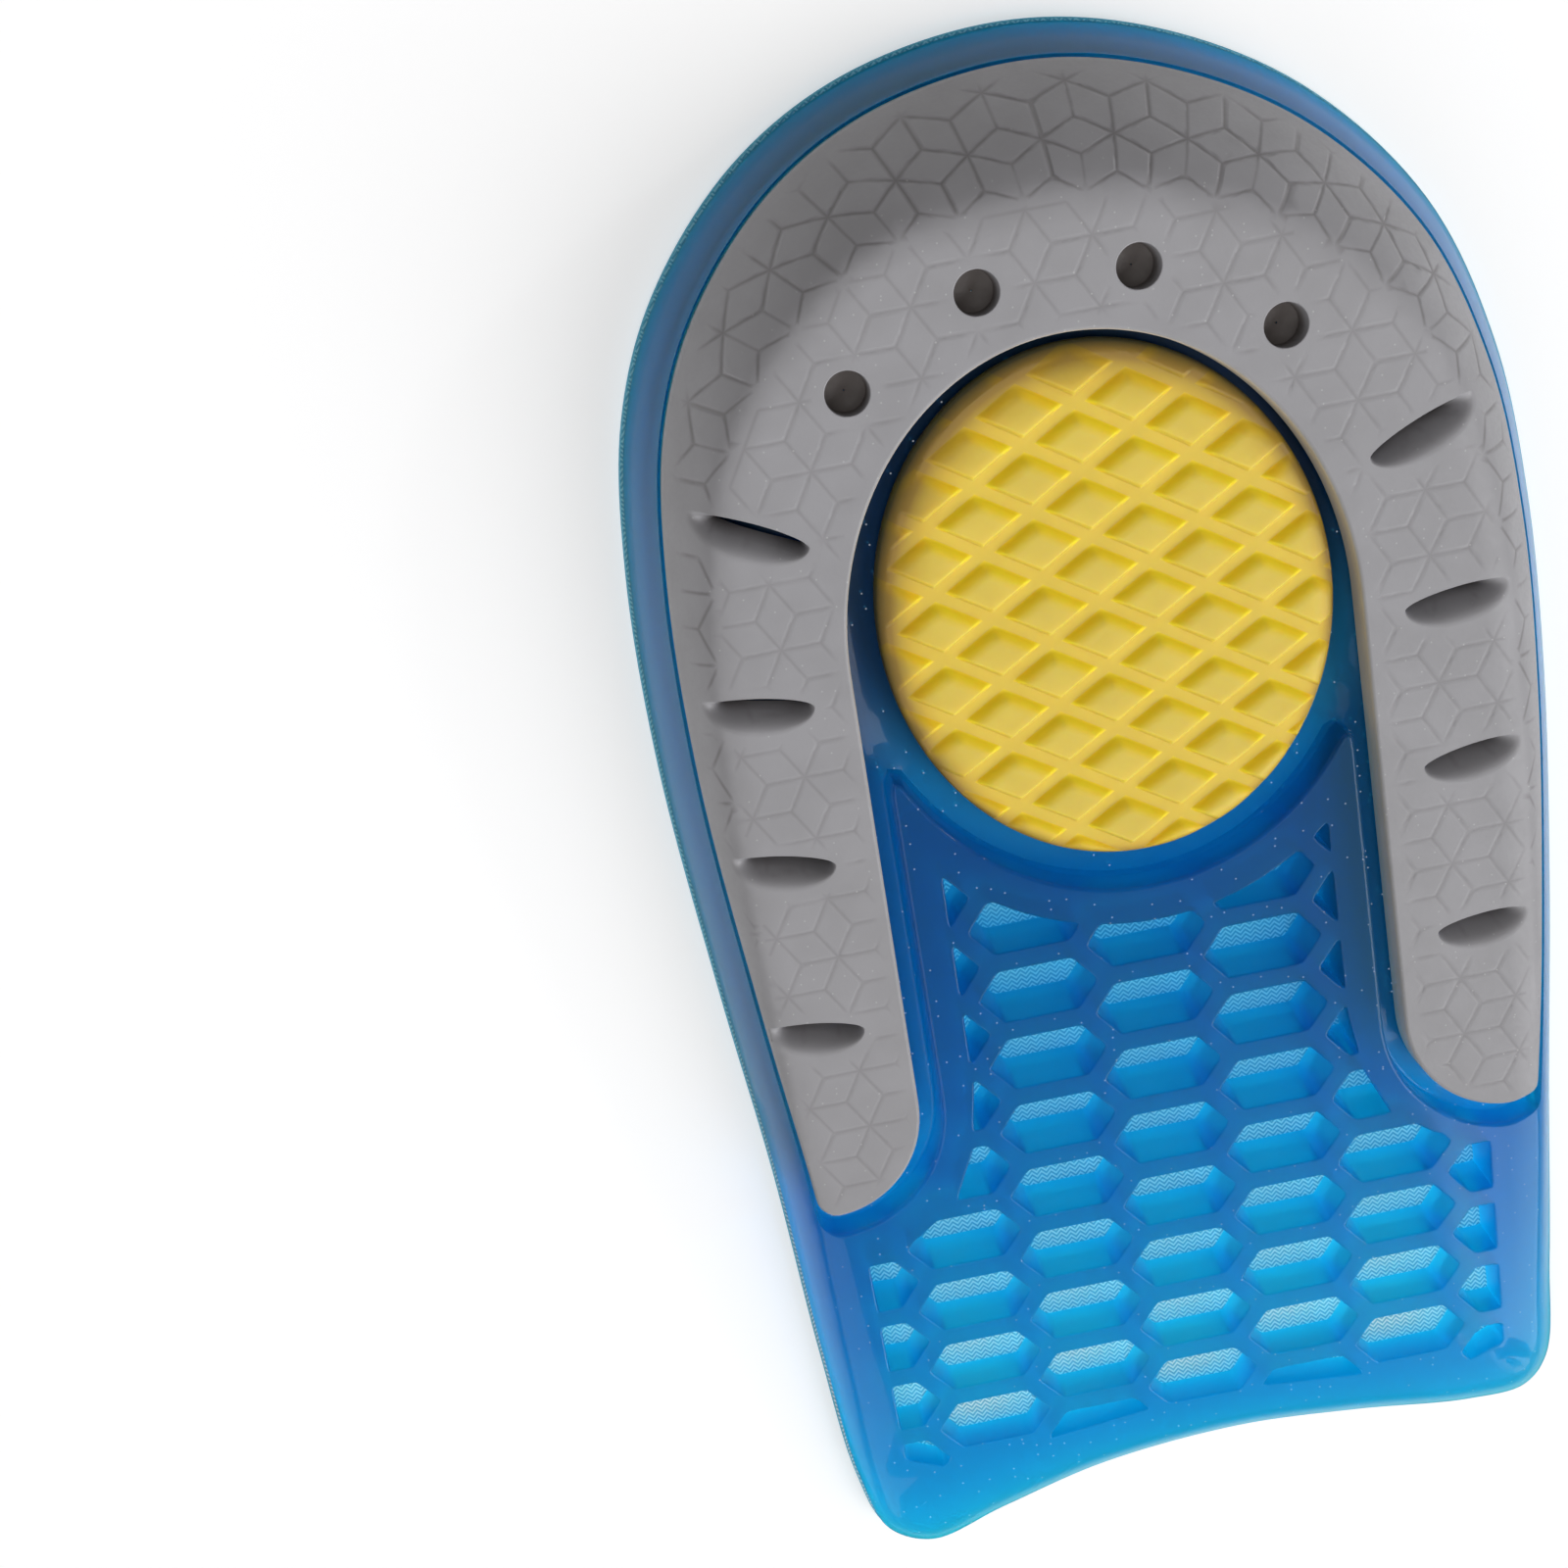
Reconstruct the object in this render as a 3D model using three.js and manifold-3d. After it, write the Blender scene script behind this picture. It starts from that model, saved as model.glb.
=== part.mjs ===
// Height-increasing half insole, lying as it is shown: underside up, foot side on the table.
// Millimetres, +Z up, +Y towards the heel, origin on the table under the middle of the part.
// Four pieces: a clear gel body, a horseshoe support over the heel, an oval heel pad, a cover cloth.
import * as THREE from 'three';
import { mergeVertices } from 'three/addons/utils/BufferGeometryUtils.js';
import Module from 'manifold-3d';

const wasm = await Module();
wasm.setup();

// Rim of the insole seen from above, anticlockwise from the back of the heel.
// shoulder: how far in from the rim the sloping wall meets the flat underside.
const RIM = [
  { x: 0.0, y: 55.2, shoulder: 11.2 },
  { x: -10.8, y: 53.7, shoulder: 10.6 },
  { x: -19.1, y: 49.4, shoulder: 9.4 },
  { x: -26.0, y: 42.0, shoulder: 8.2 },
  { x: -29.7, y: 34.2, shoulder: 7.0 },
  { x: -31.5, y: 24.0, shoulder: 5.9 },
  { x: -32.0, y: 10.0, shoulder: 5.0 },
  { x: -31.0, y: -7.4, shoulder: 3.9 },
  { x: -29.8, y: -22.0, shoulder: 2.9 },
  { x: -29.0, y: -38.0, shoulder: 2.6 },
  { x: -28.1, y: -48.5, shoulder: 2.6 },
  { x: -26.6, y: -53.4, shoulder: 2.6 },
  { x: -23.2, y: -55.2, shoulder: 2.6 },
  { x: -17.2, y: -53.6, shoulder: 2.4 },
  { x: -9.0, y: -51.6, shoulder: 2.2 },
  { x: 1.6, y: -50.8, shoulder: 2.2 },
  { x: 10.9, y: -51.5, shoulder: 2.2 },
  { x: 19.8, y: -52.6, shoulder: 2.4 },
  { x: 24.4, y: -52.3, shoulder: 2.6 },
  { x: 26.5, y: -50.0, shoulder: 2.6 },
  { x: 27.6, y: -42.0, shoulder: 2.6 },
  { x: 29.0, y: -27.4, shoulder: 2.9 },
  { x: 30.6, y: -11.9, shoulder: 4.1 },
  { x: 31.8, y: 4.4, shoulder: 5.2 },
  { x: 31.9, y: 17.3, shoulder: 6.0 },
  { x: 30.7, y: 28.4, shoulder: 7.0 },
  { x: 27.1, y: 38.7, shoulder: 8.6 },
  { x: 19.5, y: 47.6, shoulder: 9.8 },
  { x: 9.6, y: 53.2, shoulder: 10.8 },
];
const STEPS_PER_POINT = 2;

// The flat underside is a plane that climbs towards the heel.
// The support and the pad lie a little aslant on it: their right side sits nearer the front.
const AXIS_X = -0.8;
const HEEL_SLANT = 0.038;
const UNDERSIDE_AT_ORIGIN = 9.52;
const WEDGE = THREE.MathUtils.degToRad(7);

// Foot side: the cloth lies on the table at the rim and rises into the heel cup inside it.
const CLOTH_THICKNESS = 1.0;
const CLOTH_GAP = 0.3;
const FRONT_Y = -52;
const FOOT_SLOPE = 0.025;
const CUP_RISE = 4.5;
const CUP_START_Y = -30;
const CUP_LENGTH = 52;
const CUP_EDGE = { from: 0.03, to: 0.3 };
const FOOT_RINGS = [0, 0.03, 0.11, 0.2, 0.32, 0.6];

// Wall between the shoulder and the rim, as a bent line: share of the way out and share of the height.
const GEL_RIM_INSET = 0.3;
const WALL_BEND = { out: 0.42, up: 0.86 };
const WALL_STEPS = [1, 0.7, 0.35, 0];

// Horseshoe support: a U round the heel pad, with rounded leg ends.
const HORSESHOE = { thickness: 2.4, wallThickness: 2.0, rimInset: 2.2, lowest: 4.0, gap: 0.3, trench: 1.6 };
const U_EDGE = { centreY: 15, halfWidth: 17.2, rise: 20.7, legY: -17 };
const LEG_END = { centreX: 25.2, radiusX: 7.5, radiusY: 8.2 };
const HOLE_RADIUS = 1.6;
const HOLES = [
  { x: -14.4, y: 34.0 },
  { x: -5.4, y: 39.0 },
  { x: 4.9, y: 39.1 },
  { x: 13.8, y: 34.0 },
];
const SLOT_HEIGHT = { heelSide: 0.7, frontSide: 2.0 };
const SLOTS = [
  { innerX: 18.4, y: 24.4, length: 8.2, tilt: 24 },
  { innerX: 19.9, y: 13.7, length: 7.6, tilt: 8 },
  { innerX: 20.4, y: 2.2, length: 7.2, tilt: 10 },
  { innerX: 20.5, y: -10.5, length: 6.8, tilt: 7 },
];

// Heel pad: an oval plug in a pocket, with raised diamonds.
const PAD = { centreX: -0.4, centreY: 17.2, halfWidth: 15.3, halfLength: 17.8, sunk: 0.7, flare: 0.4, edge: 0.6 };
const PAD_POCKET = { depth: 3.2, moat: 2.5 };
const PAD_GAP = 0.3;
const RING_WIDTH = 2.7;
const DIAMOND = { halfLong: 3.6, halfShort: 2.25, centreY: 24.25 };
const GROOVE = { width: 0.9, depth: 0.6, firstRow: -3, lastRow: 6 };

// Honeycomb of six-sided pockets that go down to the cloth.
const CELL = { pitchX: 8.05, pitchY: 5.42, halfWidth: 4.2, halfFlat: 2.65, halfHeight: 1.98 };
const CELL_ROW_ZERO_Y = -4.03;
const CELL_COLUMNS = [
  { column: -3, firstRow: 5, lastRow: 8 },
  { column: -2, firstRow: 0.5, lastRow: 7.5 },
  { column: -1, firstRow: 0, lastRow: 8 },
  { column: 0, firstRow: 0.5, lastRow: 7.5 },
  { column: 1, firstRow: 0, lastRow: 8 },
  { column: 2, firstRow: 0.5, lastRow: 7.5 },
  { column: 3, firstRow: 5, lastRow: 8 },
];
const HONEYCOMB_EDGE = [
  { x: -13.6, y: 4.0 },
  { x: -13.6, y: -16.0 },
  { x: -14.4, y: -21.0 },
  { x: -16.2, y: -25.0 },
  { x: -19.2, y: -27.3 },
  { x: -23.3, y: -28.7 },
  { x: -23.3, y: -46.4 },
  { x: -19.1, y: -48.4 },
  { x: -11.6, y: -47.1 },
  { x: -3.0, y: -46.2 },
  { x: 4.5, y: -46.3 },
  { x: 13.6, y: -47.3 },
  { x: 19.7, y: -48.3 },
  { x: 23.2, y: -46.8 },
  { x: 23.2, y: -28.9 },
  { x: 19.2, y: -27.3 },
  { x: 16.2, y: -25.0 },
  { x: 14.4, y: -21.0 },
  { x: 13.6, y: -16.0 },
  { x: 13.6, y: 4.0 },
];

const CUT_BELOW = -5;
const CUT_HEIGHT = 30;
const ROUND_STEPS = 12;

const MATERIALS = {
  gel: new THREE.MeshStandardMaterial({ color: 0x0f6ebe, roughness: 0.15, metalness: 0 }),
  grey: new THREE.MeshStandardMaterial({ color: 0x9b9799, roughness: 0.6, metalness: 0 }),
  yellow: new THREE.MeshStandardMaterial({ color: 0xe8cd55, roughness: 0.3, metalness: 0 }),
  cloth: new THREE.MeshStandardMaterial({ color: 0x4ba5c3, roughness: 0.95, metalness: 0 }),
};

const slanted = ({ x, y }) => ({ x, y: y - HEEL_SLANT * (x - AXIS_X) });

const underside = (y) => UNDERSIDE_AT_ORIGIN + y * Math.tan(WEDGE);

// Stations round the rim: the rim point, the way in, and the width of the sloping wall there.
function rimStations() {
  const points = RIM.map((p) => new THREE.Vector3(p.x, p.y, p.shoulder));
  const curve = new THREE.CatmullRomCurve3(points, true, 'centripetal');
  const count = RIM.length * STEPS_PER_POINT;
  return Array.from({ length: count }, (_, i) => {
    const place = curve.getPoint(i / count);
    const along = curve.getTangent(i / count);
    const size = Math.hypot(along.x, along.y);
    return { x: place.x, y: place.y, shoulder: place.z, inX: -along.y / size, inY: along.x / size };
  });
}
const STATIONS = rimStations();

// Height of the lower face of the cloth; inward is 0 at the rim and 1 at the middle of the part.
function footHeight(y, inward) {
  const rise = THREE.MathUtils.smoothstep(y, CUP_START_Y, CUP_START_Y + CUP_LENGTH);
  const middle = FOOT_SLOPE * (y - FRONT_Y) + CUP_RISE * rise;
  return Math.max(middle, 0) * THREE.MathUtils.smoothstep(inward, CUP_EDGE.from, CUP_EDGE.to);
}

// A ring of the foot side, drawn from the rim towards the middle and lifted by the given height.
function footRing(inward, lift) {
  return STATIONS.map((s) => {
    const x = s.x * (1 - inward);
    const y = s.y * (1 - inward);
    return new THREE.Vector3(x, y, footHeight(y, inward) + lift);
  });
}

// Rings of the sloping wall from the rim up to the shoulder, moved in and down by the given amounts.
function wallRings(inset, drop, rimHeight) {
  return WALL_STEPS.map((u) => STATIONS.map((s) => {
    const out = 2 * u * (1 - u) * WALL_BEND.out + u * u;
    const up = (1 - u) * (1 - u) + 2 * u * (1 - u) * WALL_BEND.up;
    const depth = inset + s.shoulder + (GEL_RIM_INSET - s.shoulder) * out;
    const shoulderY = s.y + s.inY * (inset + s.shoulder);
    const top = underside(shoulderY) - drop;
    return new THREE.Vector3(s.x + s.inX * depth, s.y + s.inY * depth, rimHeight + (top - rimHeight) * up);
  }));
}

// Closed body through rings that run from a bottom middle point, out, up and back to a top one.
function loft(rings, bottom, top) {
  const count = rings[0].length;
  const positions = rings.flat().concat(bottom, top).flatMap((p) => [p.x, p.y, p.z]);
  const bottomIndex = rings.length * count;
  const faces = [];
  for (let i = 0; i < count; i += 1) {
    const next = (i + 1) % count;
    faces.push(bottomIndex, next, i);
    for (let r = 0; r + 1 < rings.length; r += 1) {
      const a = r * count;
      const b = a + count;
      faces.push(a + i, a + next, b + next);
      faces.push(a + i, b + next, b + i);
    }
    const last = (rings.length - 1) * count;
    faces.push(last + i, last + next, bottomIndex + 1);
  }
  const geometry = new THREE.BufferGeometry();
  geometry.setAttribute('position', new THREE.Float32BufferAttribute(positions, 3));
  geometry.setIndex(faces);
  return geometry;
}

function solid(geometry) {
  geometry.deleteAttribute('normal');
  geometry.deleteAttribute('uv');
  const merged = mergeVertices(geometry, 1e-5);
  const vertProperties = new Float32Array(merged.attributes.position.array);
  const triVerts = new Uint32Array(merged.index.array);
  return new wasm.Manifold(new wasm.Mesh({ numProp: 3, vertProperties, triVerts }));
}

function named(name, body, material) {
  const { vertProperties, triVerts, numProp } = body.getMesh();
  const geometry = new THREE.BufferGeometry();
  const positions = [];
  for (let i = 0; i < vertProperties.length; i += numProp) {
    positions.push(vertProperties[i], vertProperties[i + 1], vertProperties[i + 2]);
  }
  geometry.setAttribute('position', new THREE.Float32BufferAttribute(positions, 3));
  geometry.setIndex(Array.from(triVerts));
  geometry.computeVertexNormals();
  const mesh = new THREE.Mesh(geometry, material);
  mesh.name = name;
  return mesh;
}

// Upright prism over a plan outline, from below the part to above it.
function prism(points, bottom = CUT_BELOW, height = CUT_HEIGHT) {
  const shape = new THREE.Shape(points.map((p) => new THREE.Vector2(p.x, p.y)));
  const geometry = new THREE.ExtrudeGeometry(shape, { depth: height, bevelEnabled: false });
  return solid(geometry.translate(0, 0, bottom));
}

// Everything below the underside plane lowered by depth, as a block far larger than the part.
function belowUnderside(depth) {
  const span = 200;
  const block = new THREE.BoxGeometry(span, span, span).translate(0, 0, -span / 2);
  block.rotateX(WEDGE);
  return solid(block.translate(0, 0, UNDERSIDE_AT_ORIGIN - depth));
}

// Everything above a height over the table.
function aboveTable(height) {
  const span = 200;
  return solid(new THREE.BoxGeometry(span, span, span).translate(0, 0, height + span / 2));
}

// Outline of the heel pad, widened all round by grow.
function padOval(grow) {
  return Array.from({ length: 2 * ROUND_STEPS }, (_, i) => {
    const turn = (Math.PI * i) / ROUND_STEPS;
    const x = PAD.centreX + (PAD.halfWidth + grow) * Math.cos(turn);
    return slanted({ x, y: PAD.centreY + (PAD.halfLength + grow) * Math.sin(turn) });
  });
}

// The envelope of the underside and wall, with the gel's foot side or a plain bottom.
function gelBlank() {
  const lift = CLOTH_THICKNESS + CLOTH_GAP;
  const foot = FOOT_RINGS.slice(1).reverse().map((k) => footRing(k, lift));
  const rings = foot.concat(wallRings(0, 0, lift));
  const bottom = new THREE.Vector3(0, 0, footHeight(0, 1) + lift);
  return solid(loft(rings, bottom, new THREE.Vector3(0, 0, underside(0))));
}

function innerEnvelope(inset, drop) {
  const walls = wallRings(inset, drop, CLOTH_THICKNESS);
  const base = walls[0].map((p) => new THREE.Vector3(p.x, p.y, CUT_BELOW));
  const bottom = new THREE.Vector3(0, 0, CUT_BELOW);
  return solid(loft([base].concat(walls), bottom, new THREE.Vector3(0, 0, underside(0) - drop)));
}

// Plan of the horseshoe: the U edge, widened by grow, with the outside left to the rim.
function horseshoePlan(grow) {
  const far = 60;
  const right = [];
  for (let i = 0; i <= ROUND_STEPS; i += 1) {
    const turn = (Math.PI * (ROUND_STEPS - i)) / (2 * ROUND_STEPS);
    const x = (U_EDGE.halfWidth - grow) * Math.cos(turn);
    right.push({ x, y: U_EDGE.centreY + (U_EDGE.rise - grow) * Math.sin(turn) });
  }
  for (let i = 0; i <= ROUND_STEPS / 2; i += 1) {
    const turn = (Math.PI * i) / ROUND_STEPS;
    const x = LEG_END.centreX - (LEG_END.radiusX + grow) * Math.cos(turn);
    right.push({ x, y: U_EDGE.legY - (LEG_END.radiusY + grow) * Math.sin(turn) });
  }
  right.push({ x: far, y: right[right.length - 1].y });
  right.push({ x: far, y: far });
  const left = right.slice(1).reverse().map((p) => ({ x: -p.x, y: p.y }));
  const points = right.concat(left).map((p) => slanted({ x: p.x + AXIS_X, y: p.y }));
  return prism(points);
}

const rimPlan = (inset) => prism(STATIONS.map((s) => ({ x: s.x + s.inX * inset, y: s.y + s.inY * inset })));

// Leaf-shaped slot: pointed at both ends, nearly straight on the heel side and full on the front side.
function slotCut({ innerX, y, length, tilt }, side) {
  const points = [];
  for (let i = 0; i < ROUND_STEPS; i += 1) {
    const turn = (Math.PI * 2 * i) / ROUND_STEPS;
    const reach = (length * (1 + Math.cos(turn))) / 2;
    const height = Math.sin(turn) > 0 ? SLOT_HEIGHT.heelSide : SLOT_HEIGHT.frontSide;
    points.push(new THREE.Vector2(reach, height * Math.sin(turn)));
  }
  const lean = THREE.MathUtils.degToRad(tilt);
  const origin = new THREE.Vector2();
  const placed = points.map((p) => {
    const turned = p.clone().rotateAround(origin, lean);
    return slanted({ x: AXIS_X + side * (innerX + turned.x), y: y + turned.y });
  });
  return prism(placed);
}

function holeCut({ x, y }) {
  const cylinder = new THREE.CylinderGeometry(HOLE_RADIUS, HOLE_RADIUS, CUT_HEIGHT, ROUND_STEPS);
  cylinder.rotateX(Math.PI / 2 + WEDGE);
  const place = slanted({ x: AXIS_X + x, y });
  return solid(cylinder.translate(place.x, place.y, underside(place.y)));
}

function horseshoe() {
  const { thickness, wallThickness, rimInset, lowest } = HORSESHOE;
  const plan = rimPlan(rimInset).intersect(horseshoePlan(0)).intersect(aboveTable(lowest));
  let body = gelBlank().intersect(plan).subtract(innerEnvelope(wallThickness, thickness));
  for (const hole of HOLES) {
    body = body.subtract(holeCut(hole));
  }
  for (const slot of SLOTS) {
    body = body.subtract(slotCut(slot, -1)).subtract(slotCut(slot, 1));
  }
  return body;
}

// Six-sided pocket, upright to the underside.
function cellCut(column, row) {
  const { pitchX, pitchY, halfWidth, halfFlat, halfHeight } = CELL;
  const corners = [
    { x: halfWidth, y: 0 },
    { x: halfFlat, y: halfHeight },
    { x: -halfFlat, y: halfHeight },
    { x: -halfWidth, y: 0 },
    { x: -halfFlat, y: -halfHeight },
    { x: halfFlat, y: -halfHeight },
  ];
  const shape = new THREE.Shape(corners.map((p) => new THREE.Vector2(p.x, p.y)));
  const geometry = new THREE.ExtrudeGeometry(shape, { depth: CUT_HEIGHT, bevelEnabled: false });
  geometry.translate(0, 0, -CUT_HEIGHT / 2);
  geometry.rotateX(WEDGE);
  const y = CELL_ROW_ZERO_Y - row * pitchY * Math.cos(WEDGE);
  return solid(geometry.translate(AXIS_X + column * pitchX, y, underside(y)));
}

function honeycomb() {
  let cells = null;
  for (const { column, firstRow, lastRow } of CELL_COLUMNS) {
    for (let row = firstRow; row <= lastRow; row += 1) {
      const cell = cellCut(column, row);
      cells = cells ? cells.add(cell) : cell;
    }
  }
  const edge = prism(HONEYCOMB_EDGE.map((p) => ({ x: p.x + AXIS_X, y: p.y })));
  const ring = prism(padOval(PAD_POCKET.moat + RING_WIDTH));
  return cells.intersect(edge).subtract(ring);
}

function gelBody() {
  const { thickness, wallThickness, rimInset, lowest, gap, trench } = HORSESHOE;
  const plan = rimPlan(rimInset - gap).intersect(horseshoePlan(trench));
  const recess = plan.intersect(aboveTable(lowest - gap));
  const floor = innerEnvelope(wallThickness + gap, thickness + gap);
  const pocket = prism(padOval(PAD_POCKET.moat)).subtract(belowUnderside(PAD_POCKET.depth));
  return gelBlank().subtract(recess.subtract(floor)).subtract(pocket).subtract(honeycomb());
}

// Grooves along one edge of the diamonds, side by side down the pad. lean is 1 or -1.
function grooves(lean) {
  const { halfLong, halfShort, centreY } = DIAMOND;
  const reach = 60;
  const cuts = [];
  for (let row = GROOVE.firstRow; row < GROOVE.lastRow; row += 1) {
    const box = new THREE.BoxGeometry(reach, GROOVE.width, 2 * GROOVE.depth);
    box.rotateZ(Math.atan2(lean * halfShort - HEEL_SLANT * halfLong, halfLong));
    box.rotateX(WEDGE);
    const y = centreY - 2 * halfShort * (row + 0.5);
    cuts.push(solid(box.translate(AXIS_X, y, underside(y) - PAD.sunk)));
  }
  return cuts;
}

function heelPad() {
  const { centreX, centreY, sunk, flare, edge } = PAD;
  const bottomDepth = PAD_POCKET.depth - PAD_GAP;
  const levels = [
    { depth: bottomDepth, grow: flare },
    { depth: sunk + edge, grow: 0 },
    { depth: 0, grow: -sunk - edge },
  ];
  const rings = levels.map(({ depth, grow }) => padOval(grow)
    .map((p) => new THREE.Vector3(p.x, p.y, underside(p.y) - depth)));
  const middle = (depth) => new THREE.Vector3(centreX, centreY, underside(centreY) - depth);
  let body = solid(loft(rings, middle(bottomDepth), middle(0))).intersect(belowUnderside(sunk));
  for (const cut of grooves(1).concat(grooves(-1))) {
    body = body.subtract(cut);
  }
  return body;
}

function coverCloth() {
  const lower = FOOT_RINGS.map((k) => footRing(k, 0));
  const upper = FOOT_RINGS.map((k) => footRing(k, CLOTH_THICKNESS));
  const rings = lower.reverse().concat(upper);
  const middle = footHeight(0, 1);
  const bottom = new THREE.Vector3(0, 0, middle);
  return solid(loft(rings, bottom, new THREE.Vector3(0, 0, middle + CLOTH_THICKNESS)));
}

const insole = new THREE.Group();
insole.add(named('gel_body', gelBody(), MATERIALS.gel));
insole.add(named('support_horseshoe', horseshoe(), MATERIALS.grey));
insole.add(named('heel_pad', heelPad(), MATERIALS.yellow));
insole.add(named('cover_cloth', coverCloth(), MATERIALS.cloth));

export default insole;
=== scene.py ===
# %% [markdown]
# # A half insole that lifts the heel, lying underside up
#
# Four pieces make the part: a clear gel body with six-sided pockets, a grey horseshoe support let into
# its heel, a yellow heel pad in the middle of the horseshoe, and a cloth on the foot side, which here
# lies on the table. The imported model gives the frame, and every piece below is drawn in that frame, in
# millimetres, and turned into metres only when its mesh is made.

import bmesh
import bpy
import numpy as np
from mathutils import Matrix, Vector
from mathutils.geometry import delaunay_2d_cdt


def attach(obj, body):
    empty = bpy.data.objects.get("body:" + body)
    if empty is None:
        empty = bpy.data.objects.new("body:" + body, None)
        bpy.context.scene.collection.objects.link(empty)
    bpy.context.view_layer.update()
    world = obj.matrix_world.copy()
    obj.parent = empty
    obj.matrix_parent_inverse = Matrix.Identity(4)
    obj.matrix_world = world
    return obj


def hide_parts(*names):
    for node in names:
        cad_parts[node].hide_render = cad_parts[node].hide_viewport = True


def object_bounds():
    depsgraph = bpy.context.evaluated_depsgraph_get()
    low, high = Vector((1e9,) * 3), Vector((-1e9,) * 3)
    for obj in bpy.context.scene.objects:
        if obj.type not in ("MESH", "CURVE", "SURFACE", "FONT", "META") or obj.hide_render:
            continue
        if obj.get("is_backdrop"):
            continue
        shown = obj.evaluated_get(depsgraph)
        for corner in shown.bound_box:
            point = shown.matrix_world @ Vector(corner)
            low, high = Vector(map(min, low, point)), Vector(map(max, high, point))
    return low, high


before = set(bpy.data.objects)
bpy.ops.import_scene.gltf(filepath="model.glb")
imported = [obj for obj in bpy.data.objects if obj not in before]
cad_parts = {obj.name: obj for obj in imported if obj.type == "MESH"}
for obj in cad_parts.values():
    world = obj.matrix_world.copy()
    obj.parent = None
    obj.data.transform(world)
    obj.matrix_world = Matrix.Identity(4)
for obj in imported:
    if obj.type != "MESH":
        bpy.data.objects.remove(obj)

MM = 0.001
cad_box = [[float(v) for v in corner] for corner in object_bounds()]
print("nodes:", ", ".join(sorted(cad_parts)))

# %% [markdown]
# ## The camera
#
# The photograph was taken from above the heel, looking down and a little to the front. A camera can be set
# by hand until the picture fits, or solved from points whose places are known. Here it was solved from the
# grid of pockets, so its three axes are written down as they came out.

# %% Camera
CAMERA_PLACE = (-0.02703, 0.05108, 0.16233)
CAMERA_RIGHT = (0.98057, -0.18262, 0.07166)
CAMERA_UP = (0.19502, 0.94707, -0.25502)
CAMERA_BACK = (-0.02129, 0.26404, 0.96428)
LENS_MM = 54.0
SENSOR_MM = 36.0
NEAREST_SEEN = 0.01


def make_camera():
    """A camera whose own X, Y and Z axes are the picture's right, up and backwards."""
    data = bpy.data.cameras.new("camera")
    data.sensor_width = SENSOR_MM
    data.lens = LENS_MM
    data.clip_start = NEAREST_SEEN
    camera = bpy.data.objects.new("camera", data)
    axes = Matrix((CAMERA_RIGHT, CAMERA_UP, CAMERA_BACK)).transposed()
    camera.matrix_world = Matrix.Translation(CAMERA_PLACE) @ axes.to_4x4()
    bpy.context.scene.collection.objects.link(camera)
    bpy.context.scene.camera = camera
    return camera


make_camera()
print(f"camera: {LENS_MM:.0f} mm lens, {CAMERA_PLACE[2] / MM:.0f} mm above the table")

# %% [markdown]
# ## The rim and the wall
#
# The outline of the insole is a smooth closed line through a few points. With each point goes the width
# of the sloping wall there, called the shoulder: it is wide round the heel and narrow at the front. A
# spline object could draw the line, but then nothing else could ask it for distances, so it is worked
# out as an array.

# %% Rim
# Columns: x, y and shoulder, anticlockwise from the back of the heel.
RIM = np.array([
    (0.0, 55.2, 11.2),
    (-10.8, 53.7, 10.6),
    (-19.1, 49.4, 9.4),
    (-26.0, 42.0, 8.2),
    (-29.7, 34.2, 7.0),
    (-31.5, 24.0, 5.9),
    (-32.0, 10.0, 5.0),
    (-31.0, -7.4, 3.9),
    (-29.8, -22.0, 2.9),
    (-29.0, -38.0, 2.6),
    (-28.1, -48.5, 2.6),
    (-26.6, -53.4, 2.6),
    (-23.2, -55.2, 2.6),
    (-17.2, -53.6, 2.4),
    (-9.0, -51.6, 2.2),
    (1.6, -50.8, 2.2),
    (10.9, -51.5, 2.2),
    (19.8, -52.6, 2.4),
    (24.4, -52.3, 2.6),
    (26.5, -50.0, 2.6),
    (27.6, -42.0, 2.6),
    (29.0, -27.4, 2.9),
    (30.6, -11.9, 4.1),
    (31.8, 4.4, 5.2),
    (31.9, 17.3, 6.0),
    (30.7, 28.4, 7.0),
    (27.1, 38.7, 8.6),
    (19.5, 47.6, 9.8),
    (9.6, 53.2, 10.8),
])
STEPS_PER_POINT = 10


def rim_stations():
    """Closed spline through the rim points: between two points a cubic whose end slopes come from the
    neighbours, weighted by the square root of the distances between them."""
    before, start, end, after = (np.roll(RIM, k, axis=0)[:, None, :] for k in (1, 0, -1, -2))
    gap_a, gap_b, gap_c = (
        np.sqrt(np.linalg.norm(q - p, axis=2, keepdims=True))
        for p, q in ((before, start), (start, end), (end, after))
    )
    slope_in = gap_b * ((start - before) / gap_a - (end - before) / (gap_a + gap_b) + (end - start) / gap_b)
    slope_out = gap_b * ((end - start) / gap_b - (after - start) / (gap_b + gap_c) + (after - end) / gap_c)
    t = (np.arange(STEPS_PER_POINT) / STEPS_PER_POINT)[None, :, None]
    square = 3 * (end - start) - 2 * slope_in - slope_out
    cube = 2 * (start - end) + slope_in + slope_out
    return (start + slope_in * t + square * t ** 2 + cube * t ** 3).reshape(-1, 3)


def ways_in(line):
    """Unit vectors to the left of a closed line, which is inwards where it runs anticlockwise."""
    along = np.roll(line, -1, axis=0) - np.roll(line, 1, axis=0)
    along = along / np.linalg.norm(along, axis=1, keepdims=True)
    return np.column_stack([-along[:, 1], along[:, 0]])


STATIONS = rim_stations()
RIM_LINE = STATIONS[:, :2]
SHOULDER = STATIONS[:, 2]
RIM_INWARD = ways_in(RIM_LINE)
print("rim stations:", len(STATIONS))

# %% [markdown]
# The underside is a plane that climbs towards the heel. Between it and the rim the wall is a bent line, a
# curve with one control point. Where the two meet, a smooth minimum rounds the corner, which is how the
# moulded part looks. Every piece on the underside asks this one function for its height.

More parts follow.
